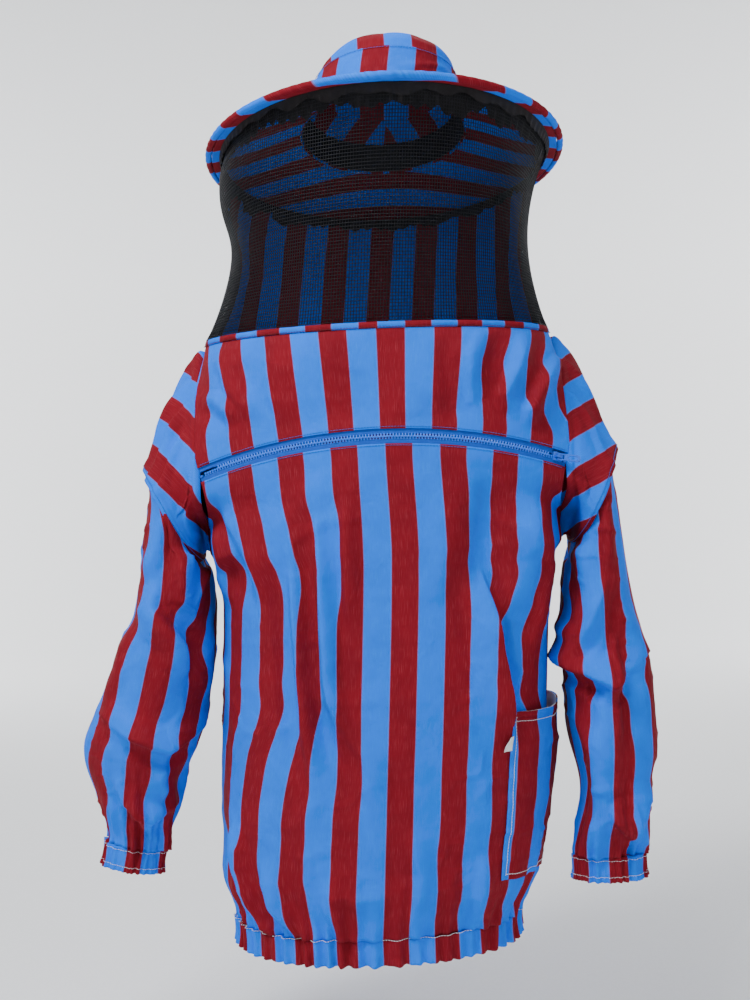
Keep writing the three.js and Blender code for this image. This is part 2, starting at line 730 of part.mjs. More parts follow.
const yokeRows = [0, 0.2, 0.4, 0.6, 0.8, 1 - LAP_SHARE, 1];
place('front_yoke', sheet(yokePoint, COLUMNS, yokeRows, CLOTH, -1, 1), 'stripe');
const weltTop = (u) => collarPoint(4 * u, WELT_HEIGHT / 2);
place(
  'collar_welt',
  outlineRing(
    weltTop,
    [
      [0, 0],
      [0, WELT_HEIGHT],
      [WELT_THICKNESS, WELT_HEIGHT],
      [WELT_THICKNESS, 0],
    ],
    36,
    down,
  ),
  'crossStripe',
);

// ---------------------------------------------------------------- hat, in the tilted hat group's own frame

const bindingOpening = THREE.MathUtils.degToRad(38);
const clothEdge = BRIM_RADIUS - BINDING_RADIUS * Math.cos(bindingOpening) - GAP;
const VEIL_SHARE = (VEIL_TOP_RADIUS - CROWN_HALF_WIDTH) / (clothEdge - CROWN_HALF_WIDTH);

// Height of the brim's middle layer at a share of the way from the crown to the rim.
function brimHeight(share) {
  return BRIM_RISE * (1 - share) ** 1.25;
}

function brimPoint(around, share, lift, outerRadius) {
  const angle = around * TURN;
  const across = lerp(CROWN_HALF_WIDTH, outerRadius, share);
  const deep = lerp(CROWN_HALF_LENGTH, outerRadius, share);
  return vec(across * Math.sin(angle), -deep * Math.cos(angle), brimHeight(share) + lift);
}

function brimLayer(middle, thickness, outerRadius) {
  const sections = [];
  const shares = [0, 0.4, VEIL_SHARE, 1];
  const segments = HAT_SIDES;
  for (let i = 0; i < segments; i++) {
    const u = i / segments;
    const start = (GAP + 0.2) / (outerRadius - CROWN_HALF_WIDTH);
    const at = (share, lift) => brimPoint(u, lerp(start, 1, share), middle + lift, outerRadius);
    sections.push([
      ...shares.map((share) => at(share, thickness / 2)),
      ...shares.toReversed().map((share) => at(share, -thickness / 2)),
    ]);
  }
  sections.push(sections[0]);
  return facingOut(new LoftGeometry(sections));
}

const layerStep = (STIFFENER + THIN_CLOTH) / 2 + GAP;
place('brim_stiffener', brimLayer(0, STIFFENER, clothEdge), 'stiffener', hat);
place('brim_upper_cloth', brimLayer(layerStep, THIN_CLOTH, clothEdge), 'crossStripe', hat);
place('brim_under_cloth', brimLayer(-layerStep, THIN_CLOTH, clothEdge), 'crossStripe', hat);

const rim = (u) => vec(BRIM_RADIUS * Math.sin(u * TURN), -BRIM_RADIUS * Math.cos(u * TURN), 0);
const wireOutline = [];
for (let i = 0; i < 6; i++) {
  const angle = (i / 6) * TURN;
  wireOutline.push([HOOP_WIRE_RADIUS * Math.cos(angle), HOOP_WIRE_RADIUS * Math.sin(angle)]);
}
place('brim_wire', outlineRing(rim, wireOutline, HAT_SIDES, down), 'wire', hat);

// The binding wraps the hoop and is open towards the brim's layers.
const bindingOutline = [];
const bindingInside = HOOP_WIRE_RADIUS + 2 * GAP;
for (const [radius, shares] of [[BINDING_RADIUS, evenly(5)], [bindingInside, evenly(5).toReversed()]]) {
  for (const share of shares) {
    const angle = lerp(bindingOpening, TURN - bindingOpening, share);
    bindingOutline.push([radius * Math.cos(angle), radius * Math.sin(angle)]);
  }
}
place('brim_binding', outlineRing(rim, bindingOutline, HAT_SIDES, down), 'crossStripe', hat);

// Crown wall and crown top.
function crownPoint(around, share, inwards = 0) {
  const angle = around * TURN;
  const z = lerp(CROWN_WALL_TOP, BRIM_RISE - 2.5, share);
  const low = smoothstep(share, 0.85, 0.95);
  const width = lerp(CROWN_TOP_HALF_WIDTH, CROWN_HALF_WIDTH, lerp(share, 1, low)) - inwards;
  const length = width + CROWN_HALF_LENGTH - CROWN_HALF_WIDTH;
  return vec(width * Math.sin(angle), -length * Math.cos(angle), z);
}
place('crown_wall', tube((u, v) => crownPoint(u, v), HAT_SIDES, 3, CLOTH), 'stripe', hat);

const dome = [[0, 1], [36, 0.95], [63, 0.62], [77, 0.28], [CROWN_TOP_HALF_WIDTH, 0]];
const domeRise = CROWN_HEIGHT - CROWN_WALL_TOP - GAP;
const domeOutline = dome.map(([r, share]) => new THREE.Vector2(r, share * domeRise));
const domeInside = dome.map(([r, share]) => new THREE.Vector2(
  Math.max(0, r - CLOTH * (r > 70 ? 1 : 0.4)),
  Math.max(0, share * domeRise - (r > 70 ? 0.6 * CLOTH : CLOTH)),
));
const domeGeometry = new THREE.LatheGeometry([...domeInside, ...domeOutline.toReversed()], HAT_SIDES);
domeGeometry.rotateX(HALF_PI);
domeGeometry.scale(1, 1 + (CROWN_HALF_LENGTH - CROWN_HALF_WIDTH) / CROWN_TOP_HALF_WIDTH, 1);
domeGeometry.translate(0, 0, CROWN_WALL_TOP + GAP);
place('crown_top', geometryOf(solid(facingOut(domeGeometry))), 'stripe', hat);

const bandTop = 1 - (SWEATBAND_HEIGHT / (CROWN_WALL_TOP - BRIM_RISE));
place(
  'sweatband',
  tube((u, v) => crownPoint(u, lerp(bandTop, 0.97, v), CLOTH + 2 * GAP), HAT_SIDES, 1, THIN_CLOTH),
  'band',
  hat,
);

// ---------------------------------------------------------------- veil

const underBrim = -layerStep - THIN_CLOTH / 2 - GAP;
function hatToJacket(point) {
  return point.applyAxisAngle(vec(1, 0, 0), -BRIM_TILT).add(vec(HAT_SWAY, 0, BRIM_Z));
}

// The veil hangs from under the brim (v 0) to the welt (v 1). angle turns from front to wearer's left.
const veilBottom = WELT_HEIGHT / 2 + 2.5 * GAP;
function veilPoint(angle, v, inwards = 0) {
  const radius = VEIL_TOP_RADIUS - inwards;
  const top = hatToJacket(
    vec(radius * Math.sin(angle), -radius * Math.cos(angle), brimHeight(VEIL_SHARE) + underBrim - GAP),
  );
  const bottom = collarPoint(angle / HALF_PI, veilBottom, inwards);
  const point = top.lerp(bottom, v);
  const drawn = Math.sin(v * Math.PI) ** 0.8 * (VEIL_WAIST * Math.sin(angle) ** 2 + 5);
  point.x -= drawn * Math.sin(angle);
  point.y += drawn * Math.cos(angle) * 0.6;
  return point;
}
const veilRows = [0.001, 0.09, 0.28, 0.5, 0.72, 0.92, 0.999];
const netGap = GAP / CHEST_HALF_WIDTH;
place(
  'veil_front_net',
  sheet((u, v) => veilPoint(lerp(-NET_EDGE, NET_EDGE, u), v), 24, veilRows, NET),
  'net',
);
place(
  'veil_back_panel',
  sheet(
    (u, v) => veilPoint(lerp(NET_EDGE + netGap, TURN - NET_EDGE - netGap, u), v),
    16,
    veilRows,
    NET,
  ),
  'stripe',
);
const bandAngle = SIDE_BAND_WIDTH / VEIL_TOP_RADIUS;
for (const [side, name] of [[1, 'left'], [-1, 'right']]) {
  const middle = side * NET_EDGE;
  place(
    `veil_side_band_${name}`,
    sheet(
      (u, v) => veilPoint(
        lerp(middle - bandAngle / 2, middle + bandAngle / 2, u),
        v,
        NET + 3 * GAP,
      ),
      2,
      veilRows.slice(1, -1),
      NET,
    ),
    'band',
  );
}
const gatherShare = GATHER_BAND_HEIGHT / (BRIM_Z - veilBottom);
place(
  'veil_gather_band',
  tube((u, v) => veilPoint(u * TURN, lerp(0.002, gatherShare, v), NET + 3 * GAP), HAT_SIDES, 1, NET),
  'band',
);

export default jacket;
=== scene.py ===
"""Looks of a striped cotton beekeeping jacket with an attached round hat and net veil.

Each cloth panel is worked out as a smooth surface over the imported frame, in millimetres, and its folds,
gathers and pleats are added along the surface's own direction. The stripes lie on the finished surface by
its length across, so that a fold takes up cloth and narrows them as it does in real cloth.
"""

import math

import bpy
import numpy as np
from mathutils import Matrix, Vector


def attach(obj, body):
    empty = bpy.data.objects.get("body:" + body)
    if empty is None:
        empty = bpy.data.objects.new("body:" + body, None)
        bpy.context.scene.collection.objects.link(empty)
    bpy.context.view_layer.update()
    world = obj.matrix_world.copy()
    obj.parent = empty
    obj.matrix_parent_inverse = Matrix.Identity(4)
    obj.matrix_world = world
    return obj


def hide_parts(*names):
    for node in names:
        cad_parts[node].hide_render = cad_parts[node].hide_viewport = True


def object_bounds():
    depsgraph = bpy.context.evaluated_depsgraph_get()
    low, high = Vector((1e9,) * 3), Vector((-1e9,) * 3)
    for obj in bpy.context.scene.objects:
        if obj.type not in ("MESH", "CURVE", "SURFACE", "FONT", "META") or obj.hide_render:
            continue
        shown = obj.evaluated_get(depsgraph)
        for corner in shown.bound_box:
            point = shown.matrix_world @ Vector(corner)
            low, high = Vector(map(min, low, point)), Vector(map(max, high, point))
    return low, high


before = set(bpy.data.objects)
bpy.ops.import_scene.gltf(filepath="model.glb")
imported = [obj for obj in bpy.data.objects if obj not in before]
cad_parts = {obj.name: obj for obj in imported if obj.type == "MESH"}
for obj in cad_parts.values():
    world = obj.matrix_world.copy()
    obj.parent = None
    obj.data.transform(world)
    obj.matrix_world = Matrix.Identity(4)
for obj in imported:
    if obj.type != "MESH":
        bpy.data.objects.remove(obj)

CAD_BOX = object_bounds()

bl_info = {
    "name": "Beekeeping jacket",
    "version": (1, 0, 0),
    "blender": (4, 5, 0),
    "location": "View3D > Sidebar > Jacket",
    "description": "Makes the cloth, veil, zip and stage of a striped beekeeping jacket",
    "category": "Object",
}

# ---------------------------------------------------------------- sizes shared with the frame, in millimetres

MM = 0.001
GAP = 0.3
COLLAR_HALF_WIDTH, COLLAR_FRONT, COLLAR_BACK = 197, 128, 125
WELT_HEIGHT = 7.4
SIDE_X = 203  # plane of each armhole
UNDERARM_Z, HEM_Z, HEM_BAND = -235, -648, 27
ARMHOLE_BACK = 92
CHEST_HALF_WIDTH, WAIST_HALF_WIDTH, HEM_HALF_WIDTH = 189, 187, 163
CHEST_FRONT, HEM_FRONT, CHEST_BACK, HEM_BACK = 141, 128, 132, 112
BODY_SWAY, HAT_SWAY = -0.065, 17
ZIP_FRONT_Y, ZIP_FRONT_Z, ZIP_RADIUS = -135, -118, 373
ZIP_PLANE_TILT, ZIP_LEAN = math.radians(34), math.radians(25)
CLOTH_TO_CHAIN, TAPE_CLOTH_LAP = 8, 6
CLOTH_OUT = 2.3  # the cloth's outer face over the middle of the zip tape
SEAM_OUT, SEAM_Z = 62, -130
SLEEVE_DROP = {1: 454, -1: 420}
CUFF_BAND = 26
BRIM_Z, BRIM_TILT = 207, math.radians(9.4)
BRIM_RADIUS, BRIM_RISE, BINDING_RADIUS = 200, 30, 4
CROWN_HALF_WIDTH, CROWN_HALF_LENGTH, CROWN_WALL_TOP = 95, 105, 94
CROWN_TOP_HALF_WIDTH, CROWN_HEIGHT = 82, 138
CROWN_LEAN, CROWN_SLUMP = 9, 9  # how far the soft crown leans to its left and sinks at its top
VEIL_TOP_RADIUS, VEIL_WAIST = 187, 17
VEIL_SWELL = 14  # how far the slack veil swells out on the wearer's right
NET_EDGE = math.radians(101)  # the net reaches this far round from the front
POCKET_TOP, POCKET_DEPTH, POCKET_START, POCKET_WRAP = -416, 178, 0.47, 1.37
POCKET_GAPE = 9
SIDES = {1: "left", -1: "right"}  # the wearer's left is +X
HALF_PI, TURN = math.pi / 2, 2 * math.pi
UP, DOWN = np.array([0, 0, 1.0]), np.array([0, 0, -1.0])


# ---------------------------------------------------------------- settings


class ClothSettings(bpy.types.PropertyGroup):
    """How the striped cotton is woven and how thick it is."""

    stripe: bpy.props.FloatProperty(
        name="Stripe width", description="Width of one stripe", default=0.0288, unit="LENGTH"
    )
    wall: bpy.props.FloatProperty(
        name="Cloth thickness", description="Thickness of one layer of cloth", default=0.0008, unit="LENGTH"
    )
    thread: bpy.props.FloatProperty(
        name="Thread pitch", description="Distance between two threads of the weave", default=0.0006,
        unit="LENGTH",
    )
    azure: bpy.props.FloatVectorProperty(
        name="Azure", description="sRGB colour of the blue stripes", default=(0.0, 0.46, 0.98), size=3,
        subtype="COLOR_GAMMA",
    )
    claret: bpy.props.FloatVectorProperty(
        name="Claret", description="sRGB colour of the red stripes", default=(0.50, 0.05, 0.10), size=3,
        subtype="COLOR_GAMMA",
    )
    relief: bpy.props.FloatProperty(
        name="Fold height", description="Multiplies the height of every fold", default=1.0, min=0.0, max=1.5
    )
    seed: bpy.props.IntProperty(
        name="Crumple seed", description="Chooses the small wrinkles", default=7, min=0
    )


class NetSettings(bpy.types.PropertyGroup):
    """The square-mesh tulle of the veil."""

    pitch: bpy.props.FloatProperty(
        name="Mesh pitch", description="Distance between two threads of the net", default=0.003, unit="LENGTH"
    )
    width: bpy.props.FloatProperty(
        name="Thread width", description="Width of one net thread", default=0.0007, unit="LENGTH"
    )
    depth: bpy.props.FloatProperty(
        name="Thread depth", description="Thickness of one net thread", default=0.00046, unit="LENGTH"
    )


class TrimSettings(bpy.types.PropertyGroup):
    """Stitches, gathers and zip teeth."""

    stitch: bpy.props.FloatProperty(
        name="Stitch length", description="Length of one stitch", default=0.0032, unit="LENGTH"
    )
    hem_gathers: bpy.props.IntProperty(
        name="Hem gathers", description="Gathers of cloth round the hem elastic", default=62, min=8
    )
    cuff_gathers: bpy.props.IntProperty(
        name="Cuff gathers", description="Gathers of cloth round each cuff elastic", default=19, min=4
    )
    tooth_pitch: bpy.props.FloatProperty(
        name="Tooth pitch", description="Distance between two teeth of one row", default=0.0032, unit="LENGTH"
    )


class StageSettings(bpy.types.PropertyGroup):
    """The camera and the light."""

    distance: bpy.props.FloatProperty(
        name="Camera distance", description="From the camera to the jacket's axis", default=1.5, unit="LENGTH"
    )
    height: bpy.props.FloatProperty(
        name="Camera height", description="Camera's height over the collar seam", default=-0.184,
        unit="LENGTH",
    )
    lens: bpy.props.FloatProperty(
        name="Lens", description="Focal length for a 36 mm sensor, in millimetres", default=47.0
    )
    roll: bpy.props.FloatProperty(
        name="Roll", description="How far the camera leans to its right", default=math.radians(2.4),
        subtype="ANGLE",
    )
    light: bpy.props.FloatProperty(
        name="Light", description="Multiplies every lamp's power", default=1.0, min=0.0
    )


# ---------------------------------------------------------------- whole-array helpers


def xyz(x, y, z):
    """Points as one array whose last axis holds x, y and z."""
    return np.stack(np.broadcast_arrays(x, y, z), axis=-1).astype(float)


def mix(a, b, share):
    """a at share 0, b at share 1, and the straight line between them."""
    return a + (b - a) * share


def smooth(value, start, end):
    """0 before start, 1 after end, and 3t^2 - 2t^3 between them."""
    t = np.clip((value - start) / (end - start), 0, 1)
    return t * t * (3 - 2 * t)


def unit(vectors):
    """Vectors divided by their own length."""
    return vectors / np.maximum(np.linalg.norm(vectors, axis=-1, keepdims=True), 1e-9)


def through(pairs):
    """A smooth curve through (key, value) pairs: on each span, a cubic whose slope at a pair is that of the
    line between the pairs beside it, and 0 at both ends."""
    keys, values = np.array(sorted(pairs), float).T
    slope = np.zeros(len(keys))
    slope[1:-1] = (values[2:] - values[:-2]) / (keys[2:] - keys[:-2])

    def at(key):
        k = np.clip(key, keys[0], keys[-1])
        i = np.clip(np.searchsorted(keys, k) - 1, 0, len(keys) - 2)
        span, rise = keys[i + 1] - keys[i], values[i + 1] - values[i]
        t = (k - keys[i]) / span
        a, b = slope[i] * span - rise, rise - slope[i + 1] * span
        return values[i] + t * rise + t * (1 - t) * ((1 - t) * a + t * b)

    return at


def cubic(a, b, c, d, t):
    """Bezier cubic: (1-t)^3 a + 3t(1-t)^2 b + 3t^2(1-t) c + t^3 d."""
    t = np.asarray(t)[..., None]
    s = 1 - t
    return s**3 * a + 3 * s * s * t * b + 3 * s * t * t * c + t**3 * d


def powered(value, power):
    """value's size raised to power, with its sign kept."""
    return np.sign(value) * np.abs(value) ** power


def rows_and_columns(rows, columns, u0=0.0, u1=1.0, v0=0.0, v1=1.0, wrap=False):
    """u and v over a grid, v down its rows and u along its columns. A wrapped grid leaves out its last u."""
    u = np.linspace(u0, u1, columns, endpoint=not wrap)
    v = np.linspace(v0, v1, rows)
    return np.meshgrid(u, v)


def facing(points, outside, wrap=False):
    """Unit normals of a grid: the cross product of its two directions, all turned to the side that outside
    points to on average."""
    if wrap:
        padded = np.concatenate([points[:, -1:], points, points[:, :1]], axis=1)
        along = (padded[:, 2:] - padded[:, :-2]) / 2
    else:
        along = np.gradient(points, axis=1)
    down = np.gradient(points, axis=0)
    normal = unit(np.cross(down, along))
    return normal if np.sum(normal * outside) > 0 else -normal


def from_axis(points):
    """Directions level and straight out from the wearer's axis."""
    return points * np.array([1, 1, 0])


def come_round(places, axis=1):
    """A ring of places, or a wrapped grid, with its first place or column again after its last."""
    return np.concatenate([places, places.take([0], axis=axis)], axis=axis)


def across(points, start, wrap=False):
    """Length of cloth across each row of a grid, from column start, by its steps along x and y. A wrapped
    grid gets one more column, where it comes back to its first."""
    p = come_round(points) if wrap else points
    step = np.linalg.norm(np.diff(p[..., :2], axis=1), axis=-1)
    length = np.concatenate([np.zeros((len(p), 1)), np.cumsum(step, axis=1)], axis=1)
    return length - length[:, start : start + 1]


def area_of(points, wrap=False):
    """Area of a grid of points in square metres, as the sum of its cells."""
    p = come_round(points) if wrap else points
    one, two = p[1:, 1:] - p[:-1, :-1], p[1:, :-1] - p[:-1, 1:]
    return float(np.linalg.norm(np.cross(one, two), axis=-1).sum() / 2) * MM * MM


# ---------------------------------------------------------------- folds, gathers and crumples


def along_path(x, z, path):
    """For each place, its signed distance from a line of points and its share of the way along it. The
    distance is positive on the left of the line's direction."""
    path = np.array(path, float)
    lengths = np.linalg.norm(np.diff(path, axis=0), axis=1)
    begun = np.concatenate([[0], np.cumsum(lengths)])
    best = np.full(np.shape(x), 1e9)
    signed, share = np.zeros_like(best), np.zeros_like(best)
    for i, length in enumerate(lengths):
        (ax, az), (dx, dz) = path[i], (path[i + 1] - path[i]) / length
        t = np.clip((x - ax) * dx + (z - az) * dz, 0, length)
        ox, oz = x - ax - t * dx, z - az - t * dz
        away = np.hypot(ox, oz)
        near = away < best
        best = np.where(near, away, best)
        signed = np.where(near, np.where(dx * oz - dz * ox >= 0, away, -away), signed)
        share = np.where(near, (begun[i] + t) / begun[-1], share)
    return signed, share


def fold(x, z, path, height, left, right, start=0.0, end=0.0):
    """Height of one fold of cloth. It stands height over its line and falls as a half cosine within left and
    right of it, with a shallow valley past its steeper side. start and end are the shares of its height that
    it has at its two ends."""
    away, share = along_path(x, z, path)
    wide = np.where(away > 0, left, right)
    crest = 0.5 * (1 + np.cos(np.pi * np.clip(np.abs(away) / wide, 0, 1)))
    past = away * (-1 if right <= left else 1) / min(left, right)
    valley = 0.5 * (1 + np.cos(np.pi * np.clip(np.abs(past - 2.1) / 1.3, 0, 1)))
    grown = mix(start, 1, smooth(share, 0, 0.35)) * mix(end, 1, smooth(1 - share, 0, 0.35))
    return height * grown * (crest - 0.3 * valley)


def folded(x, z, folds):
    """Sum of several folds, each given as its path and the numbers that fold() takes."""
    total = np.zeros(np.shape(x))
    for path, *numbers in folds:
        total = total + fold(x, z, path, *numbers)
    return total


def drape(turn, z, seed, waves, length, count=14):
    """Soft waves of hanging cloth, between about -1 and 1: the sum of sines that go round the ring a whole
    number of times, up to waves, while they drift along z with a wavelength of about length."""
    chance = np.random.default_rng(seed)
    total = np.zeros(np.broadcast(turn, z).shape)
    for _ in range(count):
        times, phase = chance.integers(1, waves + 1), chance.uniform(0, TURN)
        drift = chance.normal(0, 1) / length
        total = total + np.sin(TURN * (times * turn + drift * z) + phase)
    return total / math.sqrt(count)


def crumple(turn, z, seed, waves, length):
    """Sharp-crested wrinkles between 0 and 1: exp(-(3.2 d)^2) of soft waves d, which is 1 along the lines
    where d crosses 0, times a second field of waves that comes and goes."""
    crest = np.exp(-((3.2 * drape(turn, z, seed, waves, length)) ** 2))
    return crest * smooth(drape(turn, z, seed + 50, waves, 2 * length), -0.2, 1.2)


def gathers(turn, count, seed):
    """Gathers round a ring, between -1 and 1: a sine of count waves, whose phase and height both wander."""
    wander = 0.4 * np.sin(TURN * 3 * turn + seed) + 0.22 * np.sin(TURN * 7 * turn + 2.1 * seed)
    size = 0.74 + 0.26 * np.sin(TURN * 5 * turn + 1.7 * seed)
    return size * np.sin(TURN * (count * turn + wander))


# ---------------------------------------------------------------- smooth surfaces, in millimetres

half_width = through([
    (HEM_Z, HEM_HALF_WIDTH),
    (mix(HEM_Z, UNDERARM_Z, 0.12), HEM_HALF_WIDTH + 15),
    (mix(HEM_Z, UNDERARM_Z, 0.32), WAIST_HALF_WIDTH),
    (UNDERARM_Z - 65, CHEST_HALF_WIDTH),
    (UNDERARM_Z - 22, CHEST_HALF_WIDTH + 1),
    (UNDERARM_Z, SIDE_X),
])
front_depth = through([
    (HEM_Z, HEM_FRONT),
    (mix(HEM_Z, UNDERARM_Z, 0.25), CHEST_FRONT),
    (UNDERARM_Z, CHEST_FRONT),
])
back_depth = through([
    (HEM_Z, HEM_BACK),
    (mix(HEM_Z, UNDERARM_Z, 0.3), CHEST_BACK - 4),
    (-100, CHEST_BACK),
    (-WELT_HEIGHT, COLLAR_BACK),
    (0, COLLAR_BACK),
])
squareness = through([(HEM_Z, 0.9), (UNDERARM_Z, 0.82), (-30, 0.95), (0, 1)])

ZIP_FORWARD = np.array([0, -math.cos(ZIP_PLANE_TILT), math.sin(ZIP_PLANE_TILT)])
ZIP_AXIS = np.array([0, math.sin(ZIP_PLANE_TILT), math.cos(ZIP_PLANE_TILT)])
ZIP_CENTRE = np.array([0, ZIP_FRONT_Y, ZIP_FRONT_Z]) - ZIP_RADIUS * ZIP_FORWARD
CORNER_RISE = CLOTH_TO_CHAIN + TAPE_CLOTH_LAP
ZIP_END = math.asin((SIDE_X - 1) / (ZIP_RADIUS + CORNER_RISE * math.sin(ZIP_LEAN) + 2.5))
SLIDER_TURN = ZIP_END - 12 / ZIP_RADIUS


def sway(z):
    """How far the hanging body leans aside at a height: BODY_SWAY d^2 / (d + 40), d below the underarm."""
    drop = np.maximum(0, UNDERARM_Z - z)
    return BODY_SWAY * drop * drop / (drop + 40)


def body_point(around, z):
    """The body's outline at a height: a superellipse, flatter where squareness is lower. around is -1 and 1
    at the side seams, 0 at the front centre and 2 at the back centre."""
    angle = around * HALF_PI
    depth = np.where(np.cos(angle) > 0, front_depth(z), back_depth(z))
    power = squareness(z)
    x = half_width(z) * powered(np.sin(angle), power) + sway(z)
    return xyz(x, -depth * powered(np.cos(angle), power), z)


def collar_point(around, z, inwards=0.0):
    """The collar's oval, drawn in by inwards."""
    angle = around * HALF_PI
    depth = np.where(np.cos(angle) > 0, COLLAR_FRONT, COLLAR_BACK)
    return xyz((COLLAR_HALF_WIDTH - inwards) * np.sin(angle), -(depth - inwards) * np.cos(angle), z)


def zip_spoke(turn):
    """Unit direction from the arc's centre to a turn along the zip."""
    return np.sin(turn)[..., None] * np.array([1, 0, 0]) + np.cos(turn)[..., None] * ZIP_FORWARD


def zip_point(turn, rise, out):
    """A place on the zip: turn along its arc, rise up the tape and out from the wearer."""
    turn, rise, out = np.broadcast_arrays(turn, rise, out)
    radius = ZIP_RADIUS + rise * math.sin(ZIP_LEAN) + out * math.cos(ZIP_LEAN)
    height = rise * math.cos(ZIP_LEAN) - out * math.sin(ZIP_LEAN)
    return ZIP_CENTRE + zip_spoke(turn) * radius[..., None] + ZIP_AXIS * height[..., None]


def zip_up(turn):
    """Unit direction up the tape at a turn along the zip."""
    return math.sin(ZIP_LEAN) * zip_spoke(np.asarray(turn)) + math.cos(ZIP_LEAN) * ZIP_AXIS


YOKE_TOP = -WELT_HEIGHT / 2 - GAP
YOKE_LAP, CHEST_SHARE, FRONT_LAP, BACK_SHARE = 0.06, 0.24, 0.02, 0.4


def yoke_point(around, v):
    """The front yoke, from the collar (v 0) to the zip (v 1): a cubic that leaves the collar forwards and
    downwards and arrives along the tape."""
    around, v = np.broadcast_arrays(np.asarray(around, float), np.asarray(v, float))
    turn = around * ZIP_END
    top = collar_point(around, YOKE_TOP)
    lap_top, edge = zip_point(turn, CORNER_RISE, CLOTH_OUT), zip_point(turn, CLOTH_TO_CHAIN, CLOTH_OUT)
    reach = 0.36 * np.linalg.norm(top - lap_top, axis=-1)[..., None]
    sideways = np.sin(around * HALF_PI)
    fall = unit(xyz(0.1 * sideways, -0.75 * np.abs(sideways) - 0.1, -0.8))
    share = np.minimum(v / (1 - YOKE_LAP), 1)
    point = cubic(top, top + fall * reach, lap_top + zip_up(turn) * reach, lap_top, share)
    point[..., 0] = np.clip(point[..., 0], -SIDE_X, SIDE_X)
    past = np.clip((v - 1 + YOKE_LAP) / YOKE_LAP, 0, 1)[..., None]
    return np.where(past > 0, mix(lap_top, edge, past), point)


def front_point(around, v):
    """The front body panel, from the zip (v 0) to the hem casing (v 1)."""
    around, v = np.broadcast_arrays(np.asarray(around, float), np.asarray(v, float))
    turn = around * ZIP_END
    edge, lap = zip_point(turn, -CLOTH_TO_CHAIN, CLOTH_OUT), zip_point(turn, -CORNER_RISE, CLOTH_OUT)
    chest = body_point(around, np.full(around.shape, float(UNDERARM_Z)))
    reach = 0.36 * np.linalg.norm(lap - chest, axis=-1)[..., None]
    share = np.clip((v - FRONT_LAP) / (CHEST_SHARE - FRONT_LAP), 0, 1)
    upper = cubic(lap, lap - zip_up(turn) * reach, chest + reach * np.array([0, 0, 1]), chest, share)
    below = np.clip((v - CHEST_SHARE) / (1 - CHEST_SHARE), 0, 1)
    lower = body_point(around, mix(UNDERARM_Z, HEM_Z + GAP, below))
    point = np.where((v < CHEST_SHARE)[..., None], upper, lower)
    return np.where((v < FRONT_LAP)[..., None], mix(edge, lap, (v / FRONT_LAP)[..., None]), point)


def back_point(around, v):
    """The back body panel, from the welt (v 0) to the hem casing (v 1). Its upper edges follow the armholes:
    their distance behind the neck is ARMHOLE_BACK times the sine of the share of the way up."""
    around, v = np.broadcast_arrays(np.asarray(around, float), np.asarray(v, float))
    high = v < BACK_SHARE
    upper = np.clip(v / BACK_SHARE, 0, 1)
    top = YOKE_TOP - 1
    z = np.where(
        high,
        mix(UNDERARM_Z, top, (1 + np.cos(upper * math.pi)) / 2),
        mix(UNDERARM_Z, HEM_Z + GAP, (v - BACK_SHARE) / (1 - BACK_SHARE)),
    )
    point = body_point(around, z)
    width = mix(COLLAR_HALF_WIDTH, SIDE_X, smooth(upper, 0, 0.2))
    x = width * powered(np.sin(around * HALF_PI), squareness(z))
    point[..., 0] = np.where(high, x, point[..., 0])
    edge = np.where(high, ARMHOLE_BACK * np.sin(upper * math.pi), 0)
    point[..., 1] = edge + (back_depth(z) - edge) * point[..., 1] / back_depth(z)
    return point


YOKE_PART = 0.29


def armhole_point(around, side):
    """The armhole's edge, from the top (0) by the front to the underarm (0.5) and up the back."""
    t = np.asarray(around, float) % 1
    edge = np.full(t.shape, float(side))
    yoke = yoke_point(edge, np.clip(t / YOKE_PART, 0, 1))
    front = front_point(edge, CHEST_SHARE * np.clip((t - YOKE_PART) / (0.5 - YOKE_PART), 0, 1))
    back = back_point(2 - edge, BACK_SHARE * (1 - np.clip((t - 0.5) / 0.5, 0, 1)))
    point = np.where((t < YOKE_PART)[..., None], yoke, np.where((t < 0.5)[..., None], front, back))
    point[..., 0] = side * (SIDE_X + GAP)
    return point


# Each station: share of the way down the sleeve, the outer edge past the shoulder seam's, the inner edge out
# from the armhole plane, the inner edge's height over the outer's, the middle's place along Y, half depth.
SLEEVE_STATIONS = {
    1: [
        (0.0, -4, 7, -111, -4, 86),
        (0.17, 2, -4, -59, -10, 82),
        (0.36, 13, -7, -16, -20, 76),
        (0.56, 26, -2, -4, -32, 73),
        (0.75, 35, 1, 0, -42, 70),
        (0.9, 34, 4, 0, -50, 60),
        (1.0, 32, 6, 0, -54, 30),
    ],
    -1: [
        (0.0, 0, 7, -111, -2, 86),
        (0.17, 6, -4, -59, -6, 82),
        (0.36, 20, -8, -16, -12, 77),
        (0.56, 46, -8, -4, -18, 74),
        (0.75, 73, -2, 0, -24, 71),
        (0.9, 68, 14, -6, -28, 62),
        (1.0, 52, 32, -16, -30, 34),
    ],
}


def sleeve_ring(side, down):
    """The outer edge, inner edge and half depth of the sleeve's ring at a share of the way down."""
    rows = SLEEVE_STATIONS[side]
    outer, inner, lower, middle, depth = (
        through([(row[0], row[k]) for row in rows])(down) for k in range(1, 6)
    )
    z = SEAM_Z - down * SLEEVE_DROP[side]
    return (
        xyz(side * (SIDE_X + SEAM_OUT + outer) + sway(z), middle, z),
        xyz(side * (SIDE_X + inner) + sway(z), middle, z + lower),
        depth,
    )


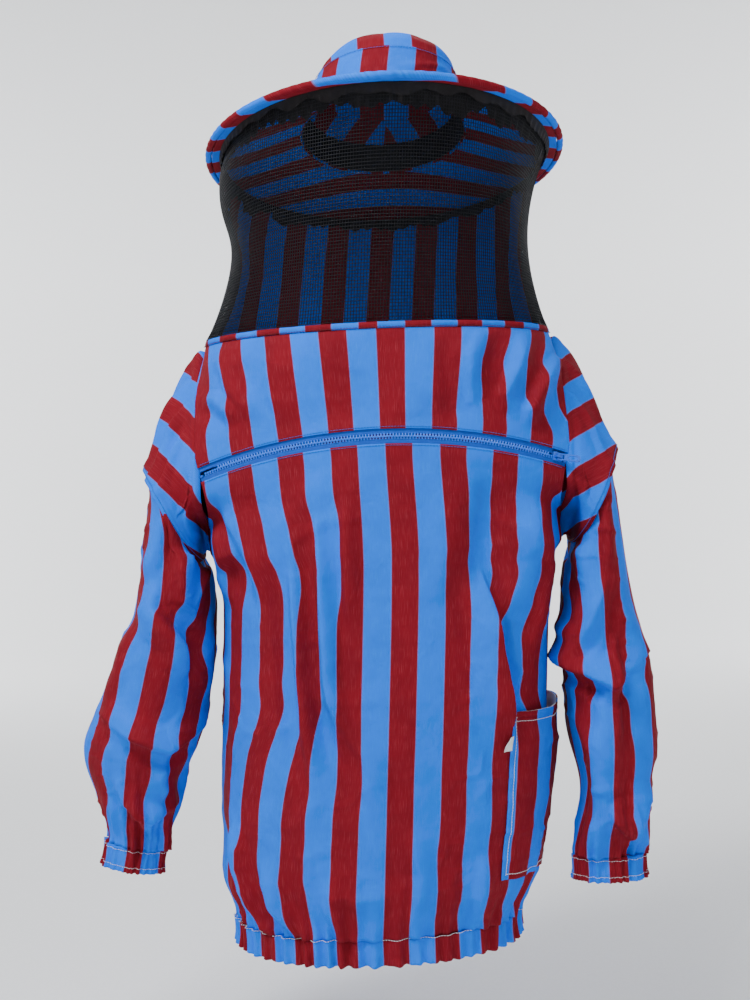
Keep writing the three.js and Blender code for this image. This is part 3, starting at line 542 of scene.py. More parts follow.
def sleeve_point(side, around, down):
    """The sleeve: a tilted ellipse at each height. around turns from the outer edge (0) by the front (0.25)
    to the inner edge (0.5)."""
    outer, inner, depth = sleeve_ring(side, down)
    angle = np.asarray(around) * TURN
    point = (outer + inner) / 2 + (outer - inner) * (np.cos(angle) / 2)[..., None]
    point[..., 1] -= depth * np.sin(angle)
    return point


def shoulder_point(side, around, v):
    """The shoulder piece, a cubic from the armhole (v 0) to the shoulder seam (v 1)."""
    around, v = np.broadcast_arrays(np.asarray(around, float), np.asarray(v, float))
    start, finish = armhole_point(around, side), sleeve_point(side, around, np.zeros(around.shape))
    top = (1 + np.cos(around * TURN)) / 2
    reach = 0.3 * np.linalg.norm(start - finish, axis=-1)[..., None]
    leave = unit(xyz(side, 0, -0.35 * top))
    arrive = unit(xyz(side * mix(0.9, 0.35, top), 0, mix(-0.3, -0.95, top)))
    return cubic(start, start + leave * reach, finish - arrive * reach, finish, v)


def pocket_point(across_share, v, lift):
    """The pocket patch over the body: lift off the cloth, plus the gape of its mouth."""
    around = mix(POCKET_START, POCKET_WRAP, across_share)
    z = mix(POCKET_TOP, POCKET_TOP - POCKET_DEPTH, v)
    here = body_point(around, z)
    side_step = body_point(around + 1e-3, z) - body_point(around - 1e-3, z)
    down_step = body_point(around, z - 0.5) - body_point(around, z + 0.5)
    out = unit(np.cross(down_step, side_step))
    gape = POCKET_GAPE * np.sin(np.clip(across_share, 0, 1) * math.pi) ** 0.7 * (1 - v**3)
    return here + out * (lift + gape)[..., None]


def brim_height(share):
    """Height of the brim's middle from crown (0) to rim (1): BRIM_RISE (1 - share)^1.25."""
    return BRIM_RISE * (1 - share) ** 1.25


def brim_point(turn, share, lift, edge):
    """The brim, in the hat's own frame: an oval at the crown that becomes a circle at the rim."""
    angle = turn * TURN
    wide, deep = mix(CROWN_HALF_WIDTH, edge, share), mix(CROWN_HALF_LENGTH, edge, share)
    return xyz(wide * np.sin(angle), -deep * np.cos(angle), brim_height(share) + lift)


def slumped(points):
    """The crown's points, leaning and sinking more the higher they are."""
    high = smooth(points[..., 2], BRIM_RISE, CROWN_HEIGHT)
    return points + xyz(CROWN_LEAN * high, 0, -CROWN_SLUMP * high * high)


def crown_point(turn, v):
    """The crown's wall, from its top (v 0) to the brim (v 1)."""
    angle = turn * TURN
    width = mix(CROWN_TOP_HALF_WIDTH, CROWN_HALF_WIDTH, mix(v, 1, smooth(v, 0.85, 0.95)))
    length = width + CROWN_HALF_LENGTH - CROWN_HALF_WIDTH
    z = mix(CROWN_WALL_TOP, BRIM_RISE - 2.5, v)
    return slumped(xyz(width * np.sin(angle), -length * np.cos(angle), z))


def hat_to_jacket(points):
    """Points of the hat's frame, tipped back by BRIM_TILT and set on the head."""
    c, s = math.cos(BRIM_TILT), math.sin(BRIM_TILT)
    x, y, z = points[..., 0], points[..., 1], points[..., 2]
    return xyz(x + HAT_SWAY, c * y + s * z, -s * y + c * z + BRIM_Z)


VEIL_BOTTOM = WELT_HEIGHT / 2 + 2.5 * GAP
LAYER_STEP, CLOTH_HALF = 1.5, 0.6  # from the brim's middle to each cloth's own middle, and half a cloth
CLOTH_EDGE = BRIM_RADIUS - BINDING_RADIUS * math.cos(math.radians(38)) - GAP
VEIL_SHARE = (VEIL_TOP_RADIUS - CROWN_HALF_WIDTH) / (CLOTH_EDGE - CROWN_HALF_WIDTH)
VEIL_TOP = brim_height(VEIL_SHARE) - LAYER_STEP - CLOTH_HALF - 2 * GAP


def veil_point(angle, v, inwards=0.0):
    """The veil, from under the brim (v 0) to the welt (v 1). Between them it draws in by VEIL_WAIST at the
    sides and 5 all round, times sin(pi v)^0.8."""
    radius = VEIL_TOP_RADIUS - inwards
    top = hat_to_jacket(xyz(radius * np.sin(angle), -radius * np.cos(angle), VEIL_TOP))
    bottom = collar_point(angle / HALF_PI, VEIL_BOTTOM, inwards)
    point = mix(top, bottom, np.asarray(v)[..., None])
    drawn = np.clip(np.sin(v * math.pi), 0, 1) ** 0.8 * (VEIL_WAIST * np.sin(angle) ** 2 + 5)
    point[..., 0] -= drawn * np.sin(angle)
    point[..., 1] += drawn * np.cos(angle) * 0.6
    return point


def slack_veil(angle, v, inwards=0.0):
    """The veil as its net hangs: on the wearer's right it swells by up to VEIL_SWELL below the brim."""
    swell = smooth(-np.sin(angle), 0.3, 1) * np.exp(-(((v - 0.24) / 0.2) ** 2)) * smooth(v, 0, 0.12)
    return veil_point(angle, v, inwards - VEIL_SWELL * swell)


# ---------------------------------------------------------------- meshes


def mesh_object(name, verts, faces, material, uv=None):
    """An object of quads from points in millimetres. uv gives each face corner its place on the cloth."""
    mesh = bpy.data.meshes.new(name)
    mesh.vertices.add(len(verts))
    mesh.vertices.foreach_set("co", (np.asarray(verts, float) * MM).astype(np.float32).ravel())
    mesh.loops.add(faces.size)
    mesh.loops.foreach_set("vertex_index", faces.astype(np.int32).ravel())
    mesh.polygons.add(len(faces))
    mesh.polygons.foreach_set("loop_start", np.arange(0, faces.size, faces.shape[1], dtype=np.int32))
    mesh.polygons.foreach_set("use_smooth", np.ones(len(faces), bool))
    if uv is not None:
        layer = mesh.uv_layers.new(name="cloth")
        layer.uv.foreach_set("vector", (uv.reshape(-1, 2) * MM).astype(np.float32).ravel())
    mesh.update(calc_edges=True)
    mesh.materials.append(material)
    obj = bpy.data.objects.new(name, mesh)
    bpy.context.scene.collection.objects.link(obj)
    return obj


def grid_faces(rows, columns, wrap):
    """Corner rows and columns of each cell of a grid: arrays of its four corners, in order round the cell."""
    r, c = np.meshgrid(np.arange(rows - 1), np.arange(columns if wrap else columns - 1), indexing="ij")
    r, c = r.ravel(), c.ravel()
    return np.stack([r, r + 1, r + 1, r], axis=1), np.stack([c, c, c + 1, c + 1], axis=1)


def shell(name, points, normals, cloth, material, wall, wrap=False):
    """A closed sheet of cloth: the grid, a second one wall behind it, and the rim between their edges.
    cloth holds each grid place's (across, along) on the flat cloth, with one more column if it wraps."""
    rows, columns = points.shape[:2]
    r, c = grid_faces(rows, columns, wrap)
    behind = rows * columns
    outer = r * columns + c % columns
    back = outer[:, ::-1] + behind
    uv = cloth[r, c]
    step_down, step_along = points[1, 0] - points[0, 0], points[0, 1] - points[0, 0]
    flip = np.dot(np.cross(step_down, step_along), normals[0, 0]) < 0
    edges = []
    for row, forward in [(0, True), (rows - 1, False)]:
        one = np.arange(columns if wrap else columns - 1)
        pair = (one, one + 1) if forward else (one + 1, one)
        edges.append([(np.full_like(one, row), pair[0]), (np.full_like(one, row), pair[1])])
    if not wrap:
        for column, forward in [(0, False), (columns - 1, True)]:
            one = np.arange(rows - 1)
            pair = (one, one + 1) if forward else (one + 1, one)
            edges.append([(pair[0], np.full_like(one, column)), (pair[1], np.full_like(one, column))])
    faces, uvs = [outer, back], [uv, uv[:, ::-1]]
    for (ra, ca), (rb, cb) in edges:
        a, b = ra * columns + ca % columns, rb * columns + cb % columns
        faces.append(np.stack([a, b, b + behind, a + behind], axis=1))
        uvs.append(np.stack([cloth[ra, ca], cloth[rb, cb], cloth[rb, cb], cloth[ra, ca]], axis=1))
    faces, uvs = np.concatenate(faces), np.concatenate(uvs)
    if flip:
        faces, uvs = faces[:, ::-1], uvs[:, ::-1]
    verts = np.concatenate([points.reshape(-1, 3), (points - normals * wall).reshape(-1, 3)])
    return mesh_object(name, verts, faces, material, uvs)


def tubes(name, lines, radius, material, sides=6, flatten=1.0, closed=False):
    """One mesh of many thin round rods. lines is an array (rod, place along it, xyz) in millimetres, and each
    rod is capped at both ends unless closed joins its last place to its first."""
    lines = np.asarray(lines, float)
    count, steps = lines.shape[:2]
    if closed:
        padded = np.concatenate([lines[:, -1:], lines, lines[:, :1]], axis=1)
        along = unit(padded[:, 2:] - padded[:, :-2])
    else:
        along = unit(np.gradient(lines, axis=1))
    outside = lines - np.array([0, 0, 1]) * lines[..., 2:]
    outside[..., 2] = 0.02
    across_rod = unit(np.cross(along, outside))
    outwards = unit(np.cross(across_rod, along))
    angle = np.arange(sides) * TURN / sides + math.pi / sides
    ring = (
        across_rod[:, :, None] * np.cos(angle)[:, None] * radius
        + outwards[:, :, None] * np.sin(angle)[:, None] * radius * flatten
    )
    verts = (lines[:, :, None] + ring).reshape(-1, 3)
    rod, i, k = np.meshgrid(
        np.arange(count), np.arange(steps if closed else steps - 1), np.arange(sides), indexing="ij"
    )
    here = (rod * steps + i) * sides
    there = (rod * steps + (i + 1) % steps) * sides
    nxt = (k + 1) % sides
    faces = np.stack([here + k, here + nxt, there + nxt, there + k], axis=-1).reshape(-1, 4)
    if not closed:
        starts = (np.arange(count) * steps) * sides
        ends = starts + (steps - 1) * sides
        caps = []
        for first, order in ((starts, 1), (ends, -1)):
            for corner in range(1, sides - 2, 2):
                corners = [0, corner + 2, corner + 1, corner][::order]
                caps.append(np.stack([first + place for place in corners], axis=1))
        faces = np.concatenate([faces, *caps])
    return mesh_object(name, verts, faces, material)


def stitches(name, body, path, out, thread, trim, radius=0.32):
    """Sews a row of stitches to a body: short threads along a path of places, each a rod that dips at both
    ends, with gaps between them. out is the direction off the cloth at each place."""
    length = trim.stitch / MM
    step = np.linalg.norm(np.diff(path, axis=0), axis=1)
    along = np.concatenate([[0], np.cumsum(step)])
    count = int(along[-1] / length)
    starts = np.arange(count) * length
    where = starts[:, None] + np.linspace(0.12, 0.88, 5) * length
    dip = np.array([-0.4, 0.25, 0.4, 0.25, -0.4]) * radius * 2
    place = np.stack([np.interp(where, along, path[:, k]) for k in range(3)], axis=-1)
    lift = np.stack([np.interp(where, along, out[:, k]) for k in range(3)], axis=-1)
    finished(tubes(name, place + lift * dip[None, :, None], radius, MATERIALS[thread]), body)


def finished(obj, body, nodes=()):
    """Puts a piece on its body, and hides the CAD nodes that it stands for."""
    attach(obj, body)
    if nodes:
        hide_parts(*nodes)
    return obj


def hung_panel(name, body, node, grid, stripes, wall, area, wrap=False):
    """A striped panel that hangs from what it rests on. grid is its points and normals, stripes their places
    on the cloth, and area is not used."""
    obj = shell(name, *grid, stripes, MATERIALS["striped"], wall, wrap=wrap)
    finished(obj, body, [node])


# ---------------------------------------------------------------- materials


def linear(rgb):
    """sRGB values from 0 to 1, or a hex string, as linear colour with alpha 1."""
    if isinstance(rgb, str):
        rgb = [int(rgb[i : i + 2], 16) / 255 for i in (1, 3, 5)]
    return [c / 12.92 if c <= 0.04045 else ((c + 0.055) / 1.055) ** 2.4 for c in rgb] + [1.0]


def add(tree, kind, inputs=None, **settings):
    """Adds a node. inputs maps socket names or numbers to a value, or to a socket to link from."""
    node = tree.nodes.new("ShaderNode" + kind)
    for key, value in settings.items():
        setattr(node, key, value)
    for key, value in (inputs or {}).items():
        socket = node.inputs[key]
        if isinstance(value, bpy.types.NodeSocket):
            tree.links.new(value, socket)
        else:
            socket.default_value = value
    return node


def math_node(tree, operation, a, b=0.0, c=0.0):
    """A value worked out from others by one operation."""
    return add(tree, "Math", {0: a, 1: b, 2: c}, operation=operation).outputs[0]


def blend_colours(tree, share, a, b, kind="MIX"):
    """Colour a where share is 0 and b where it is 1."""
    node = add(tree, "Mix", {"Factor": share}, data_type="RGBA", blend_type=kind)
    for socket, value in ((node.inputs[6], a), (node.inputs[7], b)):
        if isinstance(value, bpy.types.NodeSocket):
            tree.links.new(value, socket)
        else:
            socket.default_value = value
    return node.outputs[2]


def ranged(tree, value, low, high, to_low=0.0, to_high=1.0):
    """value moved smoothly from the range low..high to to_low..to_high."""
    inputs = {"Value": value, "From Min": low, "From Max": high, "To Min": to_low, "To Max": to_high}
    return add(tree, "MapRange", inputs, interpolation_type="SMOOTHSTEP").outputs["Result"]


def cotton(tree, thread, vector):
    """Height of a plain weave: bands of threads both ways over the cloth, thread metres apart, where a wave
    texture of scale pi / (10 thread) has that period."""
    scale = math.pi / (10 * thread)
    warp = add(tree, "TexWave", {"Vector": vector, "Scale": scale}, bands_direction="X").outputs["Fac"]
    weft = add(tree, "TexWave", {"Vector": vector, "Scale": scale}, bands_direction="Y").outputs["Fac"]
    return math_node(tree, "MULTIPLY", warp, weft)


def wrinkled(tree, size):
    """Height of small creases: noise over the object, with features of about size metres."""
    place = add(tree, "TexCoord").outputs["Object"]
    inputs = {"Vector": place, "Scale": 1 / size, "Detail": 3.0, "Roughness": 0.55, "Distortion": 0.6}
    return add(tree, "TexNoise", inputs).outputs["Fac"]


def bumped(tree, heights):
    """Chains bump nodes for (height, strength, distance) and gives the last normal."""
    normal = None
    for height, strength, distance in heights:
        inputs = {"Height": height, "Strength": strength, "Distance": distance}
        if normal is not None:
            inputs["Normal"] = normal
        normal = add(tree, "Bump", inputs).outputs["Normal"]
    return normal


def surface(tree, colour, roughness, normal, **more):
    """Ends a material: a principled surface with that colour, roughness and normal. more sets other sockets,
    with a _ for each space in their names."""
    shader = add(tree, "BsdfPrincipled", {"Base Color": colour, "Roughness": roughness, "Normal": normal})
    for key, value in more.items():
        shader.inputs[key.replace("_", " ")].default_value = value
    add(tree, "OutputMaterial", {"Surface": shader.outputs[0]})


def new_material(name):
    """An empty node material."""
    material = bpy.data.materials.new(name)
    material.use_nodes = True
    material.node_tree.nodes.clear()
    return material, material.node_tree


def striped_cotton(cloth):
    """Woven cotton with azure and claret stripes. Across the cloth the stripes repeat every two stripe
    widths, and a thin pale line runs where they meet. Claret is in the middle where across is 0."""
    material, tree = new_material("striped cotton")
    place = add(tree, "UVMap", uv_map="cloth").outputs["UV"]
    axes = add(tree, "SeparateXYZ", {0: place})
    period = 2 * cloth.stripe
    phase = math_node(tree, "MULTIPLY_ADD", axes.outputs["X"], 1 / period, 0.25)
    share = math_node(tree, "FRACT", phase)
    is_azure = ranged(tree, share, 0.497, 0.503)
    to_edge = math_node(tree, "PINGPONG", math_node(tree, "MULTIPLY", phase, 2.0), 0.5)
    from_edge = math_node(tree, "MULTIPLY", to_edge, cloth.stripe)
    is_line = ranged(tree, from_edge, 0.0003, 0.0007, 0.5, 0.0)
    soft = wrinkled(tree, 0.05)
    slub_place = add(
        tree, "Mapping", {"Vector": place, "Scale": (1 / 0.0005, 1 / 0.016, 1.0)}
    ).outputs["Vector"]
    slub = add(tree, "TexNoise", {"Vector": slub_place, "Scale": 1.0, "Detail": 2.0}).outputs["Fac"]
    weave = cotton(tree, cloth.thread, place)
    drift = ranged(tree, soft, 0.3, 0.7)
    azure = blend_colours(tree, drift, linear(cloth.azure), linear([c * 0.95 for c in cloth.azure]))
    claret = blend_colours(tree, drift, linear(cloth.claret), linear([c * 0.94 for c in cloth.claret]))
    claret = blend_colours(tree, ranged(tree, slub, 0.5, 0.75, 0.0, 0.24), claret, linear("#c05058"))
    azure = blend_colours(tree, ranged(tree, slub, 0.5, 0.78, 0.0, 0.16), azure, linear("#3ab4ff"))
    colour = blend_colours(tree, is_azure, claret, azure)
    colour = blend_colours(tree, is_line, colour, linear("#6f7fc4"))
    # painted shade: the colour darkens towards dark navy where the weave is low, in the gaps between its
    # threads
    colour = blend_colours(tree, ranged(tree, weave, 0.0, 0.35, 0.16, 0.0), colour, linear("#10203c"))
    normal = bumped(tree, [(wrinkled(tree, 0.07), 0.6, 0.006), (wrinkled(tree, 0.024), 0.5, 0.0024),
                            (slub, 0.25, 0.0001), (weave, 0.3, 0.0001)])
    surface(tree, colour, 0.88, normal, Specular_IOR_Level=0.14)
    return material


def plain_cloth(name, base, shade, thread, roughness=0.85, size=0.02, sheen=0.1):
    """Woven cloth of one colour that drifts towards shade, with its threads thread metres apart."""
    material, tree = new_material(name)
    place = add(tree, "TexCoord").outputs["Object"]
    weave = cotton(tree, thread, place)
    soft = wrinkled(tree, size)
    colour = blend_colours(tree, ranged(tree, soft, 0.35, 0.65, 0.0, 0.6), linear(base), linear(shade))
    # painted shade: the colour darkens towards shade where the weave is low, in the gaps between its threads
    colour = blend_colours(tree, ranged(tree, weave, 0.0, 0.4, 0.3, 0.0), colour, linear(shade))
    normal = bumped(tree, [(soft, 0.25, 0.0008), (weave, 0.5, 0.00015)])
    surface(tree, colour, roughness, normal, Sheen_Weight=sheen, Specular_IOR_Level=0.25)
    return material


def hard(name, base, wear, roughness, metallic=0.0, coat=0.0, size=0.004):
    """Moulded plastic, enamel or metal: one colour with faint mottling and worn, rougher patches."""
    material, tree = new_material(name)
    soft = wrinkled(tree, size)
    fine = wrinkled(tree, size / 6)
    worn = ranged(tree, fine, 0.6, 0.74, 0.0, 0.35)
    colour = blend_colours(tree, worn, linear(base), linear(wear))
    rough = ranged(tree, soft, 0.3, 0.7, roughness * 0.8, roughness * 1.25)
    normal = bumped(tree, [(soft, 0.12, 0.0002), (fine, 0.15, 0.00005)])
    surface(tree, colour, rough, normal, Metallic=metallic, Coat_Weight=coat, Coat_Roughness=0.15)
    return material


def ribbed(name, base, shade, rib, roughness=0.8):
    """Woven tape or elastic with ribs across it, rib metres apart, over the object's height."""
    material, tree = new_material(name)
    place = add(tree, "TexCoord").outputs["Object"]
    scale = math.pi / (10 * rib)
    bands = add(tree, "TexWave", {"Vector": place, "Scale": scale}, bands_direction="Z").outputs["Fac"]
    soft = wrinkled(tree, 0.01)
    # painted shade: the grooves between the ribs take the shade colour and the ribs the base colour
    colour = blend_colours(tree, bands, linear(shade), linear(base))
    colour = blend_colours(tree, ranged(tree, soft, 0.4, 0.7, 0.0, 0.3), colour, linear(shade))
    normal = bumped(tree, [(bands, 0.6, 0.0003), (soft, 0.2, 0.0004)])
    surface(tree, colour, roughness, normal, Specular_IOR_Level=0.3)
    return material


MATERIALS = {}


def make_materials(cloth):
    """Every material of the jacket, by a short name."""
    MATERIALS.update(
        striped=striped_cotton(cloth),
        net=plain_cloth("black polyester net thread", "#14161c", "#07080b", 0.0004, 0.6, 0.006, 0.0),
        band=ribbed("black woven band", "#14161c", "#050608", 0.0009),
        ruffle=plain_cloth("black gathered tulle", "#1a1618", "#08070a", 0.0009, 0.75, 0.012, 0.05),
        lining=plain_cloth("white woven cotton", "#f3f3ef", "#cfcfca", 0.0006),
        tape=ribbed("blue zip tape", "#0b62dc", "#063f9c", 0.0007),
        teeth=hard("blue moulded teeth", "#0f6ae6", "#3f8cf4", 0.32, 0.0, 0.15),
        enamel=hard("blue enamelled metal", "#0a5fd6", "#2d86f2", 0.26, 0.35, 0.5),
        board=hard("flexible brim board", "#d8d8d2", "#c4c4bc", 0.6, size=0.02),
        wire=hard("spring steel hoop", "#b9bcc0", "#8e9196", 0.34, 1.0),
        white_thread=ribbed("white sewing thread", "#eef0f4", "#c3c9d6", 0.0005),
        blue_thread=ribbed("blue sewing thread", "#1673dc", "#0a4698", 0.0005),
        claret_thread=ribbed("dark red sewing thread", "#7c2630", "#4c141c", 0.0005),
    )


# ---------------------------------------------------------------- bodice: yoke, front, back and welt

# Folds are drawn as the jacket is seen from the front: a line of (x, z) places, the fold's height, its width
# on the line's left, its width on the line's right, and the shares of its height at both ends.
CHEST_FOLDS = [
    ([(-178, -165), (-166, -198), (-140, -252), (-133, -300)], 12.2, 34, 14, 0.3, 0),
    ([(-190, -190), (-178, -235), (-176, -300)], 13.9, 12, 22, 0.2, 0),
    ([(-104, -205), (-98, -290), (-93, -420), (-84, -520)], 13.9, 22, 10, 0, 0),
    ([(-72, -180), (-70, -260), (-68, -370), (-50, -470)], 14.8, 20, 9, 0, 0),
    ([(-40, -160), (-44, -240), (-42, -330)], 8.6, 20, 9, 0, 0),
    ([(166, -162), (154, -240), (128, -314), (112, -350)], 15.6, 34, 26, 0.2, 0),
    ([(116, -160), (104, -237), (98, -300)], -8.6, 28, 20, 0.2, 0),
    ([(100, -245), (109, -311), (117, -367), (122, -420), (124, -470)], 19.1, 6, 34, 0, 0),
    ([(176, -215), (160, -300), (142, -372)], 12.2, 22, 12, 0, 0.3),
    ([(-96, -372), (-60, -398), (-30, -455), (-24, -540)], 7.8, 30, 12, 0, 0),
    ([(-150, -560), (-134, -610), (-112, -640)], 12.2, 22, 9, 0, 0.6),
    ([(-70, -575), (-76, -612), (-64, -644)], 8.6, 20, 10, 0, 0.6),
    ([(12, -520), (22, -580), (10, -640)], 7, 24, 12, 0, 0.6),
    ([(92, -560), (82, -610), (84, -644)], 8.6, 22, 10, 0, 0.6),
    ([(-187, -520), (-172, -575), (-160, -612), (-148, -640)], 13.9, 14, 8, 0, 0.5),
]
YOKE_FOLDS = [
    ([(-176, -12), (-158, -52), (-128, -104)], 8.9, 22, 16, 0.3, 0),
    ([(-196, -66), (-176, -70), (-150, -96)], 8.2, 14, 16, 0.3, 0),
    ([(-118, -20), (-112, -70), (-96, -104)], 4.9, 26, 14, 0, 0),
    ([(112, -8), (96, -38), (98, -84), (112, -112)], 8.2, 24, 12, 0.2, 0.2),
    ([(160, -8), (150, -46), (132, -78), (136, -112)], 13, 24, 14, 0.2, 0),
    ([(196, -40), (176, -62), (158, -96), (160, -122)], 13, 20, 12, 0.4, 0),
]
BACK_FOLDS = [
    ([(-170, -200), (-120, -260), (-90, -340)], 12, 34, 16, 0, 0),
    ([(174, -190), (128, -250), (96, -330)], 12, 16, 34, 0, 0),
    ([(-60, -180), (-52, -330), (-60, -470)], 9, 26, 12, 0, 0),
    ([(48, -170), (60, -320), (54, -500)], 9.8, 12, 28, 0, 0),
    ([(0, -300), (-6, -430), (6, -560)], 7.5, 24, 14, 0, 0),
    ([(120, -470), (112, -560), (96, -640)], 10.5, 14, 26, 0, 0.6),
    ([(-124, -460), (-116, -560), (-92, -640)], 10.5, 26, 14, 0, 0.6),
    ([(-150, -60), (-120, -100), (-70, -118)], 6, 24, 14, 0, 0),
    ([(150, -56), (118, -96), (60, -112)], 6, 14, 24, 0, 0),
]


def body_relief(points, around, cloth, trim):
    """How far the body's cloth stands off its smooth surface: folds seen from the front or the
    back, hanging waves, small crumples, and gathers and a pouch that grow towards the hem."""
    x, z = points[..., 0], points[..., 2]
    turn = around / 4
    to_front = smooth(np.cos(around * HALF_PI), -0.12, 0.12)
    relief = to_front * folded(x, z, CHEST_FOLDS) + (1 - to_front) * folded(x, z, BACK_FOLDS)
    body = smooth(-z, 150, 300)
    relief += body * 2.6 * drape(turn, z, cloth.seed, 7, 620)
    relief += 2.4 * crumple(turn, z, cloth.seed + 3, 8, 150)
    relief += 1.6 * crumple(turn, z, cloth.seed + 8, 14, 70) * smooth(-z, 200, 360)
    above_hem = z - HEM_Z
    relief += 5 * np.exp(-(((above_hem - 42) / 30) ** 2)) - 2.5
    wide = gathers(turn, trim.hem_gathers, 1.3)
    relief += (2.3 * np.exp(-above_hem / 20) + 0.9 * np.exp(-above_hem / 60)) * wide
    relief += 2.5 * np.exp(-above_hem / 70) * gathers(turn, trim.hem_gathers // 3, 2.2)
    return relief * cloth.relief


def cloth_places(points, start, offset, along, wrap=False, fullness=1.0, level=None, calm=0):
    """Each grid place's (across, along) on the flat cloth. Across is its length along its row from column
    start, times fullness, plus offset, averaged over calm rows either way. From level millimetres down,
    every row is as wide as the one there."""
    length = across(points, start, wrap) * fullness
    if calm:
        weights = np.hanning(2 * calm + 3)[1:-1]
        padded = np.pad(length, ((calm, calm), (0, 0)), mode="edge")
        rows = [w * padded[k : k + len(length)] for k, w in enumerate(weights)]
        length = np.sum(rows, axis=0) / weights.sum()
    if level is not None:
        wide = length[:, -1] - length[:, 0]
        row = np.argmin(np.abs(along[:, 0] - level))
        length = length * mix(1, wide[row] / wide, smooth(along[:, 0], level, level + 60))[:, None]
    length = length + offset
    down = come_round(along) if wrap else along
    return np.stack([length, down], axis=-1)


def raised(points, outside, relief, wrap=False):
    """A grid moved by relief along its own normals, with the normals of the result."""
    moved = points + facing(points, outside, wrap) * relief[..., None]
    return moved, facing(moved, outside, wrap)


HALF_CHEST_CLOTH, HALF_BACK_CLOTH = 240, 200  # cloth from the middle to an armhole
ZIP_TO_UNDERARM = 110  # cloth from the zip down to the underarm's height
LEVEL_BELOW = 500  # the body's stripes stay as wide as they are this far below the collar


def make_front(cloth, trim):
    """The front panel, under the zip. Gives its lowest row's turns and places across the cloth."""
    u, v = rows_and_columns(158, 300, -1, 1)
    v = v**0.92
    points = front_point(u, v)
    z = points[..., 2]
    from_zip = (v / CHEST_SHARE) * ZIP_TO_UNDERARM
    from_armhole = (1 - np.abs(u)) * HALF_CHEST_CLOTH + smooth(-z, -UNDERARM_Z - 15, -UNDERARM_Z + 15) * 60
    relief = body_relief(points, u, cloth, trim) * smooth(from_zip, 2, 26) * smooth(from_armhole, 0, 22)
    grid = raised(points, from_axis(points), relief)
    stripes = cloth_places(grid[0], 150, -16.5, -z, level=LEVEL_BELOW, calm=4)
    hung_panel("front_panel", "torso", "torso_front", grid, stripes, cloth.wall / MM, area_of(points))
    return u[-1], stripes[-1, :, 0]


def make_back(cloth, trim):
    """The back panel, from the collar to the hem. Gives the same as make_front()."""
    seam = GAP / CHEST_HALF_WIDTH
    u, v = rows_and_columns(160, 290, 1 + seam, 3 - seam)
    points = back_point(u, v)
    z = points[..., 2]
    above_underarm = smooth(z, UNDERARM_Z - 10, UNDERARM_Z + 20)
    from_edge = np.minimum(u - 1, 3 - u) * HALF_BACK_CLOTH
    keep = mix(1, smooth(from_edge, 0, 24), above_underarm) * smooth(-z, 8, 40)
    relief = body_relief(points, u, cloth, trim) * keep
    grid = raised(points, from_axis(points), relief)
    stripes = cloth_places(grid[0], 145, 3, -z, level=LEVEL_BELOW, calm=9)
    hung_panel("back_panel", "torso", "torso_back", grid, stripes, cloth.wall / MM, area_of(points))
    return u[-1], stripes[-1, :, 0]


def make_yoke(cloth):
    """The yoke between collar and zip, which folds back with the hat. Its fullness makes its stripes a little
    wider at the collar and a little narrower at the zip."""
    u, v = rows_and_columns(110, 300, -1, 1)
    points = yoke_point(u, v)
    x, z = points[..., 0], points[..., 2]
    from_armhole = (1 - np.abs(u)) * HALF_CHEST_CLOTH
    fade = smooth(v, 0.0, 0.12) * smooth(1 - v, 0.04, 0.2) * smooth(from_armhole, 0, 14)
    relief = folded(x, z, YOKE_FOLDS) + 1.6 * drape(u / 4, z, cloth.seed + 5, 8, 300)
    relief = (relief + 1.2 * crumple(u / 4, z, cloth.seed + 6, 7, 120)) * fade * cloth.relief
    grid = raised(points, from_axis(points) + np.array([0, -40, 0]), relief)
    stripes = cloth_places(grid[0], 150, -11.8, -z, fullness=mix(0.93, 1.06, v))
    hung_panel("yoke_cloth", "hood", "front_yoke", grid, stripes, cloth.wall / MM, area_of(points))


def ring_profile(name, base, outline, down, ruffle, material, places):
    """A closed band carried round a ring of places. outline lists (inwards, down) pairs; ruffle(turn, down)
    pushes it outwards, and places(turn) is its place across the cloth. Gives the object and its grid."""
    count = len(base)
    along = np.roll(base, -1, axis=0) - np.roll(base, 1, axis=0)
    inwards = unit(np.cross(along, np.broadcast_to(down, along.shape)))
    if np.sum(inwards * (base.mean(axis=0) - base)) < 0:
        inwards = -inwards
    turn = np.arange(count) / count
    points = np.array([base + inwards * (i - ruffle(turn, d))[:, None] + down * d for i, d in outline])
    r, c = grid_faces(len(outline) + 1, count, True)
    faces = (r % len(outline)) * count + c % count
    across_cloth = np.where(c == c[:, :1], places(c / count + 1e-6), places(c / count - 1e-6))
    depth = np.array([d for _, d in outline] + [outline[0][1]])
    uv = np.stack([across_cloth, depth[r]], axis=-1)
    first = points[1, 0] - points[0, 0]
    if np.dot(np.cross(first, points[0, 1] - points[0, 0]), -inwards[0]) < 0:
        faces, uv = faces[:, ::-1], uv[:, ::-1]
    return mesh_object(name, points.reshape(-1, 3), faces, material, uv), points


